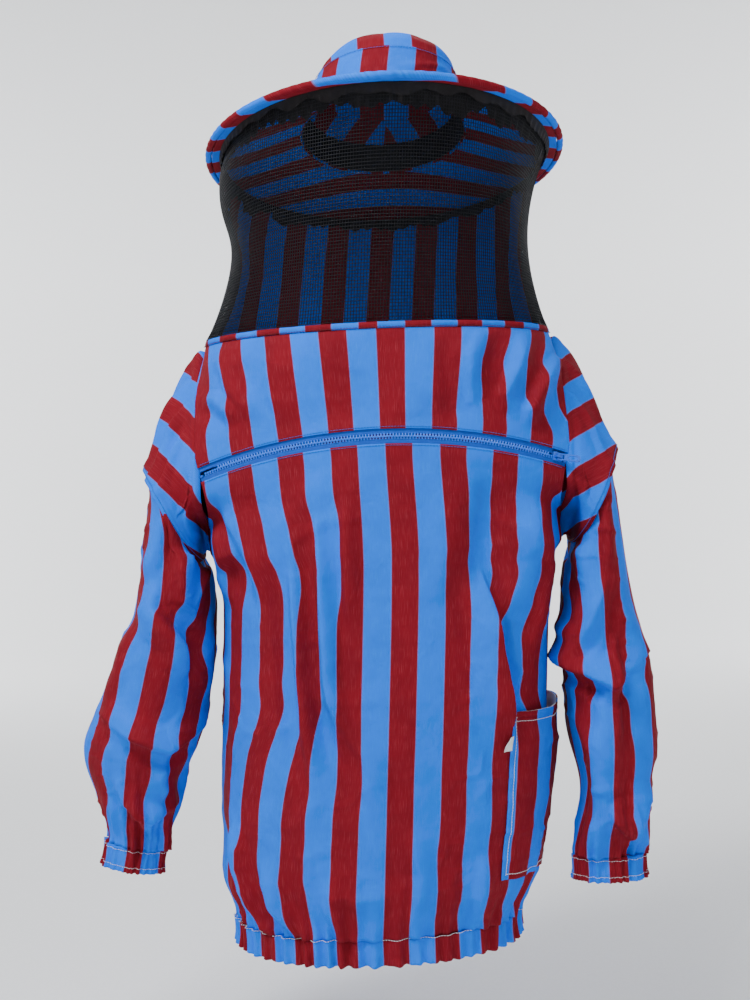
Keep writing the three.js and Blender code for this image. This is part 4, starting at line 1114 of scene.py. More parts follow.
def make_welt(trim):
    """The folded piping round the collar, with its row of stitches."""
    count = 420
    turn = np.arange(count) / count
    base = collar_point(4 * turn, np.full(count, WELT_HEIGHT / 2))
    angle = np.linspace(0.35, TURN - 0.35, 12) - math.pi / 2
    rolled = [(1.5 - 1.7 * math.cos(a), WELT_HEIGHT / 2 + WELT_HEIGHT / 2 * math.sin(a)) for a in angle]
    steps = np.linalg.norm(np.roll(base, -1, axis=0) - base, axis=1)
    length = np.concatenate([[0], np.cumsum(steps)])

    def lump(t, _):
        return 0.35 * gathers(t, 60, 3.1) + 0.3 * gathers(t, 23, 0.6)

    def places(t):
        return np.interp(t, np.arange(count + 1) / count, length) + 14

    obj, _ = ring_profile("collar_piping", base, rolled, DOWN, lump, MATERIALS["striped"], places)
    finished(obj, "hood", ["collar_welt"])
    under = collar_point(4 * turn, np.full(count, YOKE_TOP + 1.4)) * np.array([1.004, 1.006, 1])
    front = under[np.abs(((4 * turn + 2) % 4) - 2) < 0.93]
    front = front[np.argsort(front[:, 0])]
    out = unit(from_axis(front))
    stitches("collar_stitches", "hood", front + out * 0.5, out, "claret_thread", trim)


def make_hem(trim, front, back):
    """The folded casing round the hem elastic, gathered along its whole length, and its stitch line. front
    and back are the (around, place across the cloth) of the panels' lowest rows, which its stripes follow."""
    count = 620
    turn = np.arange(count) / count
    base = body_point(4 * turn, np.full(count, float(HEM_Z)))
    number = trim.hem_gathers

    def ruffle(t, depth):
        d = depth / HEM_BAND
        small = 1.6 * d**2 * gathers(t, int(number * 1.7), 4.4)
        wide = 2.5 * (1 - 0.6 * d) * gathers(t, number // 3, 2.2)
        return (3.2 - 1.2 * d + 2.6 * d**3) * gathers(t, number, 1.3) + wide - 2.5 + small + 0.7 * (1 - d)

    depths = np.linspace(0, HEM_BAND, 12)
    outline = [(0, d) for d in depths] + [(2.5, HEM_BAND + 1.6), (5, HEM_BAND)]
    outline += [(5.2, d) for d in depths[::-3][1:]] + [(4.4, 0), (0.9, 0)]

    def places(t):
        around = 4 * t - 4 * (t > 0.75)
        return np.where(around < 1, np.interp(around, *front), np.interp(around, *back))

    obj, points = ring_profile("hem_ruffle", base, outline, DOWN, ruffle, MATERIALS["striped"], places)
    finished(obj, "torso", ["hem_casing", "hem_elastic"])
    line = come_round(points[0], axis=0)
    out = unit(from_axis(line))
    stitches("hem_stitches", "torso", line + out * 0.9 - DOWN * 0.5, out, "white_thread", trim, 0.3)


# ---------------------------------------------------------------- shoulders, sleeves and cuffs

# Pleats run from the collar side to the shoulder seam: each is its turn round the ring and its height.
PLEATS = {
    -1: [(0.075, 6.0), (0.135, 6.5), (0.19, 5.0), (0.84, 4.0), (0.92, 4.5)],
    1: [(0.06, 3.5), (0.15, 5.0), (0.86, 4.0), (0.93, 4.0)],
}
SLEEVE_FOLDS = {
    1: [
        ([(236, -270), (222, -322), (204, -362), (206, -384)], 15.6, 10, 34, 0, 0.5),
        ([(168, -342), (200, -372), (238, -394), (268, -372)], 16.8, 30, 8, 0, 0.2),
        ([(243, -290), (257, -370), (252, -443), (236, -503)], -8.4, 22, 14, 0, 0),
        ([(266, -300), (280, -380), (284, -470), (276, -560)], 9.6, 14, 26, 0, 0.3),
        ([(202, -190), (212, -240), (214, -300)], 8.4, 16, 12, 0.4, 0),
        ([(236, -176), (240, -230), (236, -280)], 7.2, 16, 10, 0.5, 0),
        ([(196, -420), (212, -470), (204, -540)], 8.4, 24, 12, 0, 0.3),
        ([(222, -520), (238, -545), (262, -566)], 9.6, 18, 9, 0, 0.4),
        ([(284, -500), (268, -540), (250, -570)], 8.4, 10, 18, 0, 0.4),
        ([(176, -300), (190, -330), (212, -346)], 9.6, 14, 12, 0.4, 0),
    ],
    -1: [
        ([(-256, -256), (-252, -292), (-228, -332), (-224, -360), (-230, -384)], 15.6, 8, 32, 0, 0),
        ([(-306, -416), (-280, -430), (-246, -446), (-212, -430)], 15.6, 28, 8, 0.3, 0.3),
        ([(-240, -180), (-250, -226), (-268, -268)], 8.4, 12, 18, 0.5, 0),
        ([(-214, -196), (-222, -250), (-222, -300)], 8.4, 18, 10, 0.4, 0),
        ([(-284, -300), (-300, -360), (-322, -404)], 9.6, 18, 24, 0, 0.3),
        ([(-246, -452), (-252, -480), (-246, -510)], 9.6, 10, 16, 0.2, 0),
        ([(-312, -468), (-296, -506), (-268, -524), (-236, -514)], 10.8, 18, 9, 0, 0.4),
        ([(-206, -300), (-204, -350), (-210, -400)], 7.2, 12, 14, 0, 0),
        ([(-286, -480), (-282, -520), (-270, -545)], 7.2, 12, 8, 0, 0.5),
    ],
}
BACK_SLEEVE_FOLDS = [
    ([(226, -210), (236, -270), (250, -320)], 8, 16, 12, 0.4, 0),
    ([(200, -330), (232, -352), (272, -340)], 11, 24, 9, 0.2, 0.2),
    ([(206, -410), (240, -426), (276, -408)], 9, 22, 9, 0.2, 0.2),
    ([(224, -470), (232, -520), (244, -560)], 7, 16, 10, 0, 0.4),
    ([(258, -250), (266, -300), (262, -380)], 6, 12, 16, 0, 0),
]
SHOULDER_SEAM_LIP = 1.6  # how far the shoulder piece's folded lower edge stands over the sleeve
SHOULDER_RING = 620  # cloth round a shoulder piece
SHOULDER_LAP, LAP_LENGTH = 1.05, 110  # v at the edge that laps the sleeve, and its millimetres for each v


def make_shoulder(side, cloth, trim):
    """A shoulder piece, with its pleats, its folded lower edge and a turned-in allowance at the armhole."""
    rows, columns = 74, 260
    u, v = rows_and_columns(rows, columns, v1=SHOULDER_LAP, wrap=True)
    points = shoulder_point(side, u, np.minimum(v, 1))
    past = np.maximum(v - 1, 0) * LAP_LENGTH
    step = unit(points[-8] - points[-12])
    points = points + step[None] * past[..., None]
    centre = points.mean(axis=1, keepdims=True)
    outside = (points - centre) * np.array([0.6, 1, 1])
    relief = np.zeros(u.shape)
    for turn, height in PLEATS[side]:
        away = ((u - turn + 0.5) % 1 - 0.5) * SHOULDER_RING + 6 * np.sin(3 * v)
        steep = 0.5 * (1 + np.cos(np.pi * np.clip(-away / 6, 0, 1)))
        soft = 0.5 * (1 + np.cos(np.pi * np.clip(away / 26, 0, 1)))
        fade = smooth(v, 0.02, 0.5) * mix(1, 0.45, smooth(v, 0.6, 1))
        relief += height * np.where(away < 0, steep, soft) * fade
    relief += 2.4 * drape(u, points[..., 2], cloth.seed + 20 + side, 5, 260) * smooth(v, 0, 0.3)
    relief += 2.6 * crumple(u, points[..., 2], cloth.seed + 24 + side, 6, 90) * smooth(1 - v, -0.1, 0.5)
    relief -= 3.5 * smooth(1 - v, 0, 0.3)
    relief = relief * smooth(v, 0.0, 0.14) * cloth.relief + SHOULDER_SEAM_LIP * smooth(v, 0.9, 1.0)
    moved, normals = raised(points, outside, relief, wrap=True)
    inner = moved[0] + np.array([-side * 5, 0, 0]) - normals[0] * 2.0
    moved = np.concatenate([inner[None], moved])
    normals = np.concatenate([normals[:1], normals])
    steps = np.linalg.norm(np.diff(moved, axis=0), axis=-1)
    from_top = np.concatenate([np.zeros((1, columns)), np.cumsum(steps, axis=0)])
    tilt = 0.72 if side > 0 else 0.35
    finish = from_top[-1:] - (-moved[-1:, :, 2]) * tilt
    down_cloth = come_round(from_top - finish)
    phase = 8 if side > 0 else 26
    stripes = np.stack([down_cloth + phase, across(moved, 0, wrap=True)], axis=-1)
    hung_panel("shoulder_cloth_" + SIDES[side], "torso", "shoulder_" + SIDES[side], (moved, normals), stripes,
               cloth.wall / MM, area_of(moved, wrap=True),
               wrap=True)
    seam, out = come_round(moved[-4], axis=0), come_round(normals[-4], axis=0)
    stitches("shoulder_stitches_" + SIDES[side], "torso", seam + out * 0.4, out, "blue_thread", trim, 0.28)


def sleeve_relief(side, u, z, x, cloth, trim):
    """Folds of a sleeve: listed ones seen from the front or the back, soft waves, crumples, a pouch over
    the cuff and the gathers that run up from it. The folds of the back are the same on both sleeves."""
    to_front = smooth(np.sin(u * TURN), -0.1, 0.15)
    back = [([(px * side, pz) for px, pz in path], *numbers) for path, *numbers in BACK_SLEEVE_FOLDS]
    relief = to_front * folded(x, z, SLEEVE_FOLDS[side]) + (1 - to_front) * folded(x, z, back)
    relief += 3.0 * drape(u, z, cloth.seed + 31 + side, 3, 330)
    relief += 3.4 * crumple(u, z, cloth.seed + 35 + side, 3, 130)
    relief += 1.6 * crumple(u, z, cloth.seed + 45 + side, 6, 60)
    above = z - (SEAM_Z - SLEEVE_DROP[side])
    waisted = 70 if side > 0 else 42
    relief += 1.5 * np.exp(-(((above - 24) / 20) ** 2)) - 3 - 12 * np.exp(-(((above - waisted) / 45) ** 2))
    relief += 2.6 * np.exp(-np.maximum(above, 0) / 26) * gathers(u, trim.cuff_gathers, 0.7 + side)
    relief += 2.6 * np.exp(-np.maximum(above, 0) / 60) * gathers(u, trim.cuff_gathers // 2, 1.9 + side)
    return relief * cloth.relief


def make_sleeve(side, cloth, trim):
    """A sleeve, from under the shoulder piece's lower edge to the cuff. Gives its lowest row's places across
    the cloth."""
    columns = 280
    u, v = rows_and_columns(170, columns, wrap=True)
    points = sleeve_point(side, u, v)
    z, x = points[..., 2], points[..., 0]
    outside = points - points.mean(axis=1, keepdims=True)
    relief = sleeve_relief(side, u, z, x, cloth, trim) * smooth(v, 0.0, 0.09)
    relief -= 2.2 * (1 - smooth(v, 0.0, 0.035))
    clear_of_body = smooth(np.abs(x) - sway(z) * side, CHEST_HALF_WIDTH + 1, CHEST_HALF_WIDTH + 16)
    relief = np.where(relief > 0, relief * mix(0.35, 1, clear_of_body), relief)
    grid = raised(points, outside, relief, wrap=True)
    front_column = columns // 4
    stripes = cloth_places(grid[0], front_column, 9 if side > 0 else -6, -z, wrap=True, calm=12)
    hung_panel("sleeve_cloth_" + SIDES[side], "torso", "sleeve_" + SIDES[side], grid, stripes,
               cloth.wall / MM, area_of(points, wrap=True),
               wrap=True)
    return stripes[-1, :, 0]


def make_cuff(side, trim, stripes):
    """The casing round a cuff's elastic, gathered, with its lines of stitches and a flared lower edge.
    stripes is the sleeve's lowest row of places across the cloth, which the casing's stripes follow."""
    count = 380
    turn = np.arange(count) / count
    outer, inner, _ = sleeve_ring(side, np.array(1.0))
    fall = unit(np.cross(outer - inner, np.array([0, -side, 0])))
    fall = -fall if fall[2] > 0 else fall
    base = sleeve_point(side, turn, np.full(count, 1.0))
    number = trim.cuff_gathers

    def ruffle(t, depth):
        d = depth / CUFF_BAND
        main = (2.6 - 1.9 * d + 1.6 * d**3) * gathers(t, number, 0.7 + side)
        wide = 2.6 * math.exp(-3.0 * d) * gathers(t, number // 2, 1.9 + side)
        small = 1.3 * d**2 * gathers(t, 2 * number + 3, 3.3)
        drawn_in = (3 if side > 0 else 6) + 1.4 * math.exp(-d)
        return main + wide - drawn_in + small + 4.5 * max(0, d - 0.74)

    def places(t):
        return np.interp(t, np.linspace(0, 1, len(stripes)), stripes)

    depths = np.linspace(0, CUFF_BAND, 16)
    outline = [(0, d) for d in depths] + [(1.6, CUFF_BAND + 1.2), (3.4, CUFF_BAND - 1)]
    outline += [(4.8, d) for d in depths[::-3][1:]] + [(4, 0), (0.9, 0)]
    obj, points = ring_profile("cuff_ruffle_" + SIDES[side], base, outline, fall, ruffle,
                               MATERIALS["striped"], places)
    finished(obj, "torso", ["cuff_casing_" + SIDES[side], "cuff_elastic_" + SIDES[side]])
    for number, row in ((1, 2), (2, 12)):
        line = come_round(points[row], axis=0)
        out = unit(line - base.mean(axis=0))
        name = f"cuff_stitches_{SIDES[side]}_{number}"
        stitches(name, "torso", line + out * 0.45, out, "white_thread", trim, 0.28)


# ---------------------------------------------------------------- pocket

POCKET_LIFT = 2.2


def make_pocket(cloth, trim):
    """The hip pocket: a patch with a gaping, hemmed mouth, its white lining, its stitches and a blank tag."""
    u, v = rows_and_columns(90, 130, 0, 1)
    points = pocket_point(u, v, POCKET_LIFT)
    around = mix(POCKET_START, POCKET_WRAP, u)
    z = mix(POCKET_TOP, POCKET_TOP - POCKET_DEPTH, v)
    inner = smooth(u, 0, 0.12) * smooth(1 - u, 0, 0.12)
    relief = body_relief(body_point(around, z), around, cloth, trim)
    relief += 1.6 * np.abs(drape(u / 2, z, 91, 4, 160)) * inner + 1.4 * crumple(u / 2, z, 95, 5, 80) * inner
    relief += 3.5 * np.exp(-(((u - 0.72) / 0.14) ** 2)) * np.exp(-v / 0.12)
    moved, normals = raised(points, from_axis(points), relief)
    stripes = cloth_places(moved, 0, 34.5, -z)
    hung_panel("pocket_patch", "torso", "hip_pocket", (moved, normals), stripes, cloth.wall / MM,
               area_of(points))
    lining = shell("pocket_lining", moved[:14, 8:-8] - normals[:14, 8:-8] * 1.3, normals[:14, 8:-8],
                   stripes[:14, 8:-8], MATERIALS["lining"], 0.6)
    finished(lining, "torso", ["pocket_mouth_facing"])
    hem = shell("pocket_mouth_hem", moved[:4] + normals[:4] * 0.7, normals[:4], stripes[:4] + 0.8,
                MATERIALS["striped"], 0.9)
    finished(hem, "torso")
    lines = {
        "mouth": (moved[5], normals[5]),
        "front": (moved[2:-2, 3], normals[2:-2, 3]),
        "rear": (moved[2:-2, -4], normals[2:-2, -4]),
        "bottom": (moved[-4, 3:-3], normals[-4, 3:-3]),
    }
    for name, (path, out) in lines.items():
        stitches("pocket_stitches_" + name, "torso", path + out * 0.35, out, "white_thread", trim, 0.36)
    make_tag(moved[12:21, 0], moved[12:21, 0] - moved[12:21, 3], normals[12:21, 0])


def make_tag(seam, away, out):
    """The blank tag sewn into the pocket's front edge: a short ribbon that leaves the seam places along away
    and curls off the cloth along out."""
    steps, length = 12, 8.0
    reach = np.linspace(-0.15, 1, steps)[None, :, None]
    lift = 1.4 + 2.2 * reach**2 + 0.3 * np.sin(7 * reach)
    points = seam[:, None] + unit(away)[:, None] * length * reach + out[:, None] * lift
    normals = facing(points, np.broadcast_to(out[:, None], points.shape))
    cloth_map = np.stack(np.meshgrid(np.arange(float(steps)), np.arange(float(len(seam))) * 2), axis=-1)
    obj = shell("side_tag", points, normals, cloth_map, MATERIALS["lining"], 0.7)
    finished(obj, "torso", ["pocket_tag"])


# ---------------------------------------------------------------- zip


def teeth_row(name, up, start, end, body, pitch, node):
    """One row of moulded teeth: each tooth has a stem and a rounded head that reaches past the middle of the
    chain, and the two rows are half a pitch apart."""
    shift = 0.25 if up > 0 else -0.25
    step = pitch / ZIP_RADIUS
    turns = (np.arange(math.ceil(start / step), math.floor(end / step)) + 0.5 + shift) * step
    half_long = np.array([0.27, 0.22, 0.2, 0.34, 0.4, 0.34, 0.16]) * step
    rise = np.array([3.3, 2.4, 1.4, 0.9, 0.1, -0.5, -0.75])
    thick = np.array([1.0, 1.15, 1.15, 1.3, 1.35, 1.25, 0.8])
    corners = [(-1, -1), (-1, 1), (1, 1), (1, -1)]
    levels, count = len(rise), len(turns)
    verts = np.stack(
        [zip_point(turns + a * half_long[k], up * rise[k], o * thick[k])
         for k in range(levels) for a, o in corners],
        axis=1,
    )
    faces = [[0, 1, 2, 3], [4 * levels - 1, 4 * levels - 2, 4 * levels - 3, 4 * levels - 4]]
    for k in range(levels - 1):
        for c in range(4):
            faces.append([4 * k + c, 4 * k + 4 + c, 4 * k + 4 + (c + 1) % 4, 4 * k + (c + 1) % 4])
    faces = np.array(faces)
    if up > 0:
        faces = faces[:, ::-1]
    every = (faces[None] + (np.arange(count) * 4 * levels)[:, None, None]).reshape(-1, 4)
    obj = mesh_object(name, verts.reshape(-1, 3), every, MATERIALS["teeth"])
    finished(obj, body, [node])


def make_tape(name, up, start, end, body, node):
    """One woven tape of the zip, from beside its teeth to under the cloth."""
    u, v = rows_and_columns(12, 420, start, end)
    rise = up * mix(3.2, CORNER_RISE - 0.8, v)
    out = 0.55 + 0.12 * np.sin(v * 40) + 0.1 * gathers(u / TURN, 900, 0.7)
    points = zip_point(u, rise, out)
    normals = facing(points, zip_point(u, rise, out + 2) - points)
    obj = shell(name, points, normals, np.stack([v, u], axis=-1) * 14, MATERIALS["tape"], 1.1)
    finished(obj, body, [node])


ENAMEL_EDGE = 0.0003  # how far the enamel rounds a fitting's edges, in metres


def enamelled_copy(name, node, body):
    """A fitting of the frame in enamelled metal, with its edges rounded, in a new object."""
    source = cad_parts[node]
    obj = bpy.data.objects.new(name, source.data.copy())
    bpy.context.scene.collection.objects.link(obj)
    bevel = obj.modifiers.new("edges", "BEVEL")
    bevel.width, bevel.segments, bevel.limit_method = ENAMEL_EDGE, 2, "ANGLE"
    bevel.harden_normals = False
    graph = bpy.context.evaluated_depsgraph_get()
    mesh = bpy.data.meshes.new_from_object(obj.evaluated_get(graph))
    obj.modifiers.clear()
    obj.data = mesh
    mesh.materials.clear()
    mesh.materials.append(MATERIALS["enamel"])
    finished(obj, body, [node])


def make_zip(trim):
    """The tapes, the teeth, their beads and seams, and the fittings with rounded edges."""
    pitch = trim.tooth_pitch / MM
    stop, parked = ZIP_END - 5 / ZIP_RADIUS, SLIDER_TURN - 8 / ZIP_RADIUS
    for word, body, up, end in (("lower", "torso", -1, stop), ("upper", "hood", 1, parked)):
        first = -stop if up < 0 else -parked
        teeth_row("zip_chain_" + word, up, first, end, body, pitch, "zip_teeth_" + word)
        far = ZIP_END if up < 0 else parked + 1.5 / ZIP_RADIUS
        make_tape("zip_band_" + word, up, -ZIP_END, far, body, "zip_tape_" + word)
        turns = np.linspace(first, end, 240)
        bead = tubes("zip_bead_" + word, zip_point(turns, up * 3.2, 0.0)[None], 0.75, MATERIALS["tape"], 8)
        finished(bead, body)
        turns = np.linspace(-ZIP_END + 0.01, ZIP_END - 0.01, 500)
        path = zip_point(turns, up * (CLOTH_TO_CHAIN + 2.0), CLOTH_OUT + 0.3)
        out = unit(zip_point(turns, 8.0, 3.0) - zip_point(turns, 8.0, 2.0))
        stitches("zip_stitches_" + word, body, path, out, "blue_thread", trim, 0.28)
    enamelled_copy("slider_enamelled", "zip_slider", "zip_slider")
    enamelled_copy("pull_enamelled", "zip_pull", "zip_pull")
    for side in SIDES.values():
        enamelled_copy("stop_" + side, "zip_stop_" + side, "torso")


# ---------------------------------------------------------------- hat


def hat_shell(name, node, points, normals, stripes, wall):
    """A striped ring of cloth made in the hat's own frame, tipped into the jacket's."""
    c, s = math.cos(BRIM_TILT), math.sin(BRIM_TILT)
    x, y, z = normals[..., 0], normals[..., 1], normals[..., 2]
    turned = xyz(x, c * y + s * z, -s * y + c * z)
    obj = shell(name, hat_to_jacket(points), turned, stripes, MATERIALS["striped"], wall, wrap=True)
    return finished(obj, "hood", [node])


def make_brim(trim):
    """The brim's two cloths, with the stripes running from side to side, and its rows of stitches."""
    for layer, side in (("upper", 1), ("under", -1)):
        u, v = rows_and_columns(60, 300, v0=0.004, wrap=True)
        points = brim_point(u, v, side * (LAYER_STEP + CLOTH_HALF), CLOTH_EDGE)
        puckers = 0.35 * gathers(u, 46, 0.4) * smooth(v, 0.5, 1) + 0.5 * drape(u, points[..., 1], 61, 5, 300)
        outside = np.broadcast_to(side * UP, points.shape)
        moved, normals = raised(points, outside, np.abs(puckers) * 0.6, wrap=True)
        stripes = come_round(moved[..., 1::-1])
        obj = hat_shell(f"brim_{layer}_striped", f"brim_{layer}_cloth", moved, normals, stripes, 0.9)
        area_of(points, wrap=True)
    turn = np.linspace(0, 1, 700)
    for number, share in enumerate((0.16, 0.36, 0.56, 0.76), start=1):
        path = brim_point(turn, np.full(turn.shape, share), LAYER_STEP + 1.3, CLOTH_EDGE)
        out = np.broadcast_to(UP, path.shape)
        stitches(f"brim_stitches_{number}", "hood", hat_to_jacket(path), out, "blue_thread", trim, 0.26)


def make_binding():
    """The striped roll that wraps the hoop, puckered as cloth on a curve is."""
    count, sides = 480, 18
    turn = np.arange(count) / count
    angle = np.linspace(math.radians(38), TURN - math.radians(38), sides)
    radius = BINDING_RADIUS - 0.15 + 0.28 * gathers(turn, 96, 0.9)[None] * np.sin(angle / 2)[:, None]
    inwards = radius * np.cos(angle)[:, None]
    lift = -radius * np.sin(angle)[:, None]
    points = xyz(
        (BRIM_RADIUS - inwards) * np.sin(turn * TURN), -(BRIM_RADIUS - inwards) * np.cos(turn * TURN), lift
    )
    centre = xyz(BRIM_RADIUS * np.sin(turn * TURN), -BRIM_RADIUS * np.cos(turn * TURN), 0)
    normals = facing(points, points - centre[None], wrap=True)
    slant = 5 * np.sin(turn * TURN) * np.linspace(-1, 1, sides)[:, None]
    front_back = come_round(slant - BRIM_RADIUS * np.cos(turn * TURN))
    length = np.broadcast_to(np.linspace(0, 12, sides)[:, None], front_back.shape)
    stripes = np.stack([front_back, length], axis=-1)
    hat_shell("rim_binding", "brim_binding", points, normals, stripes, 0.8)


CROWN_STRIPE_SHIFT = 10.5  # from the middle of the crown to the middle of its nearest claret stripe


def make_crown(cloth, trim):
    """The crown's wall and its top, whose stripes run from front to back, with the seam between them."""
    u, v = rows_and_columns(60, 300, 0.5, 1.5, wrap=True)
    points = crown_point(u, v)
    z = points[..., 2]
    relief = 1.5 * drape(u, z, 71, 5, 200) + 1.8 * crumple(u, z, 75, 5, 80)
    relief = relief * smooth(v, 0, 0.25) * smooth(1 - v, 0.02, 0.3)
    moved, normals = raised(points, from_axis(points), relief, wrap=True)
    stripes = np.stack([across(moved, 150, True) * 0.95 + CROWN_STRIPE_SHIFT, come_round(-z)], axis=-1)
    obj = hat_shell("crown_wall_cloth", "crown_wall", moved, normals, stripes, cloth.wall / MM)
    area_of(points, wrap=True)
    rise = CROWN_HEIGHT - CROWN_WALL_TOP - GAP
    profile = through([(0, 1), (40, 0.95), (64, 0.68), (77, 0.32), (CROWN_TOP_HALF_WIDTH, 0)])
    u, v = rows_and_columns(70, 240, v0=0.004, wrap=True)
    radius = v * CROWN_TOP_HALF_WIDTH
    stretch = 1 + (CROWN_HALF_LENGTH - CROWN_HALF_WIDTH) / CROWN_TOP_HALF_WIDTH
    x, y = radius * np.sin(u * TURN), -radius * np.cos(u * TURN) * stretch
    points = slumped(xyz(x, y, CROWN_WALL_TOP + GAP + rise * profile(radius)))
    relief = 1.8 * drape(u, radius, 77, 4, 150) + 2.2 * crumple(u, radius, 79, 4, 60)
    relief = relief * smooth(v, 0.02, 0.3) * smooth(1 - v, 0, 0.2)
    moved, normals = raised(points, np.broadcast_to(UP, points.shape), relief, wrap=True)
    x, y = come_round(moved[..., 0]), come_round(moved[..., 1])
    spread = 1 + 0.06 * (x / CROWN_TOP_HALF_WIDTH) ** 2
    stripes = np.stack([x * 0.95 * spread + CROWN_STRIPE_SHIFT, y], axis=-1)
    obj = hat_shell("crown_top_cloth", "crown_top", moved, normals, stripes, cloth.wall / MM)
    area_of(points, wrap=True)
    turn = np.linspace(0, 1, 500)
    edge = crown_point(turn, np.full(turn.shape, 0.05)) + UP
    out = unit(from_axis(edge))
    stitches("crown_stitches", "hood", hat_to_jacket(edge + out * 0.6), out, "blue_thread", trim, 0.28)


# ---------------------------------------------------------------- veil


VEIL_ENDS = (0.002, 0.998)  # the shares of the way down between which the veil's cloth runs


def veil_wave(angle, v, seed):
    """Slack of the veil, pointing inwards: soft hanging waves that are still at its two seams."""
    return 2.6 * drape(angle / TURN, v * 200, seed, 9, 420) * smooth(v, 0, 0.3) * smooth(1 - v, 0, 0.3)


def make_net(net):
    """The veil's open net, thread by thread: warp threads hang down it and weft threads cross them."""
    wide, tall = 2 * NET_EDGE * VEIL_TOP_RADIUS, 205.0
    pitch = net.pitch / MM
    warps, wefts = int(wide / pitch), int(tall / pitch)
    to_corner = 1.41  # from the middle of a square thread to its corner, over half its side
    radius, flat = net.width / MM / 2 * to_corner, net.depth / net.width

    def threads(name, angle, v):
        line = slack_veil(angle, v, veil_wave(angle, v, 83) + 1.2)
        return tubes(name, line, radius, MATERIALS["net"], 4, flat)

    v, angle = np.meshgrid(np.linspace(*VEIL_ENDS, 24), np.linspace(-NET_EDGE, NET_EDGE, warps))
    pieces = [threads("veil_net_warp", angle, v)]
    angle, v = np.meshgrid(np.linspace(-NET_EDGE, NET_EDGE, 96), np.linspace(*VEIL_ENDS, wefts))
    pieces.append(threads("veil_net_weft", angle, v))
    bpy.ops.object.select_all(action="DESELECT")
    for piece in pieces:
        piece.select_set(True)
    bpy.context.view_layer.objects.active = pieces[0]
    bpy.ops.object.join()
    obj = pieces[0]
    obj.name = "veil_net"
    finished(obj, "hood", ["veil_front_net"])


def make_veil_back(cloth):
    """The veil's cloth back, striped downwards, and the black bands over its two seams."""
    seam = 0.002
    u, v = rows_and_columns(110, 240, NET_EDGE + seam, TURN - NET_EDGE - seam)
    v = mix(*VEIL_ENDS, v)
    points = slack_veil(u, v, veil_wave(u, v, 87) * 1.6 + 0.4)
    relief = 2.2 * crumple(u / TURN, v * 200, 88, 8, 120) * smooth(v, 0, 0.2) * smooth(1 - v, 0, 0.2)
    grid = raised(points, from_axis(points), -relief)
    stripes = cloth_places(grid[0], 120, 0, -points[..., 2])
    hung_panel("veil_back_cloth", "hood", "veil_back_panel", grid, stripes, cloth.wall / MM, area_of(points))
    half = 6.0 / VEIL_TOP_RADIUS
    for side, name in SIDES.items():
        u, v = rows_and_columns(60, 14, side * NET_EDGE - half, side * NET_EDGE + half)
        v = mix(0.01, 0.99, v)
        lump = veil_wave(u, v, 83) + 0.5 * gathers(v, 24, 1.1)
        for layer, inwards in (("outer", -0.9), ("inner", 2.6)):
            points = slack_veil(u, v, lump + inwards)
            normals = facing(points, from_axis(points))
            obj = shell(f"veil_seam_{layer}_{name}", points, normals, np.stack([u, v], axis=-1) * 20,
                        MATERIALS["band"], 0.7)
            nodes = ["veil_side_band_" + name] if layer == "inner" else []
            finished(obj, "hood", nodes)


def make_veil_ruffle():
    """The gathered band that sews the net under the brim: a frill whose lower edge is uneven."""
    rows, columns = 26, 700
    u, v = rows_and_columns(rows, columns, wrap=True)
    angle = u * TURN
    reach = 0.085 + 0.02 * drape(u, 0, 93, 22, 300) + 0.012 * gathers(u, 74, 2.7)
    fall = mix(0.004, 1, v) * reach
    push = (1.6 * gathers(u, 88, 0.2) + 1.2 * gathers(u, 37, 1.4)) * smooth(v, 0, 0.7)
    points = slack_veil(angle, fall, 3.0 + push)
    normals = facing(points, from_axis(points), wrap=True)
    cloth_map = np.zeros((rows, columns + 1, 2))
    obj = shell("veil_ruffle", points, normals, cloth_map, MATERIALS["ruffle"], 0.5, wrap=True)
    finished(obj, "hood", ["veil_gather_band"])
    area_of(points, wrap=True)
    reach = 0.04 + 0.012 * drape(u, 0, 97, 30, 300)
    points = slack_veil(angle, mix(0.002, 1, v) * reach, -1.4 - 0.8 * gathers(u, 110, 1.2) * v)
    normals = facing(points, from_axis(points), wrap=True)
    obj = shell("veil_top_tape", points, normals, cloth_map, MATERIALS["ruffle"], 0.5, wrap=True)
    finished(obj, "hood")


# ---------------------------------------------------------------- what stays as the frame has it


def finish_frame_nodes():
    """Materials for the nodes that show as they are packed."""
    for node, material in {
        "brim_stiffener": "board",
        "brim_wire": "wire",
        "sweatband": "band",
    }.items():
        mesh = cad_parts[node].data
        mesh.materials.clear()
        mesh.materials.append(MATERIALS[material])


# ---------------------------------------------------------------- stage


FLOOR_DROP = 0.16  # from the hem down to the paper, in metres, as the stage's other sizes are
FLAT_RADIUS, BEND_RADIUS, WALL_TOP = 4.4, 2.0, 4.2
SWEEP_SIDES = 96
CAMERA_ASIDE = -0.010


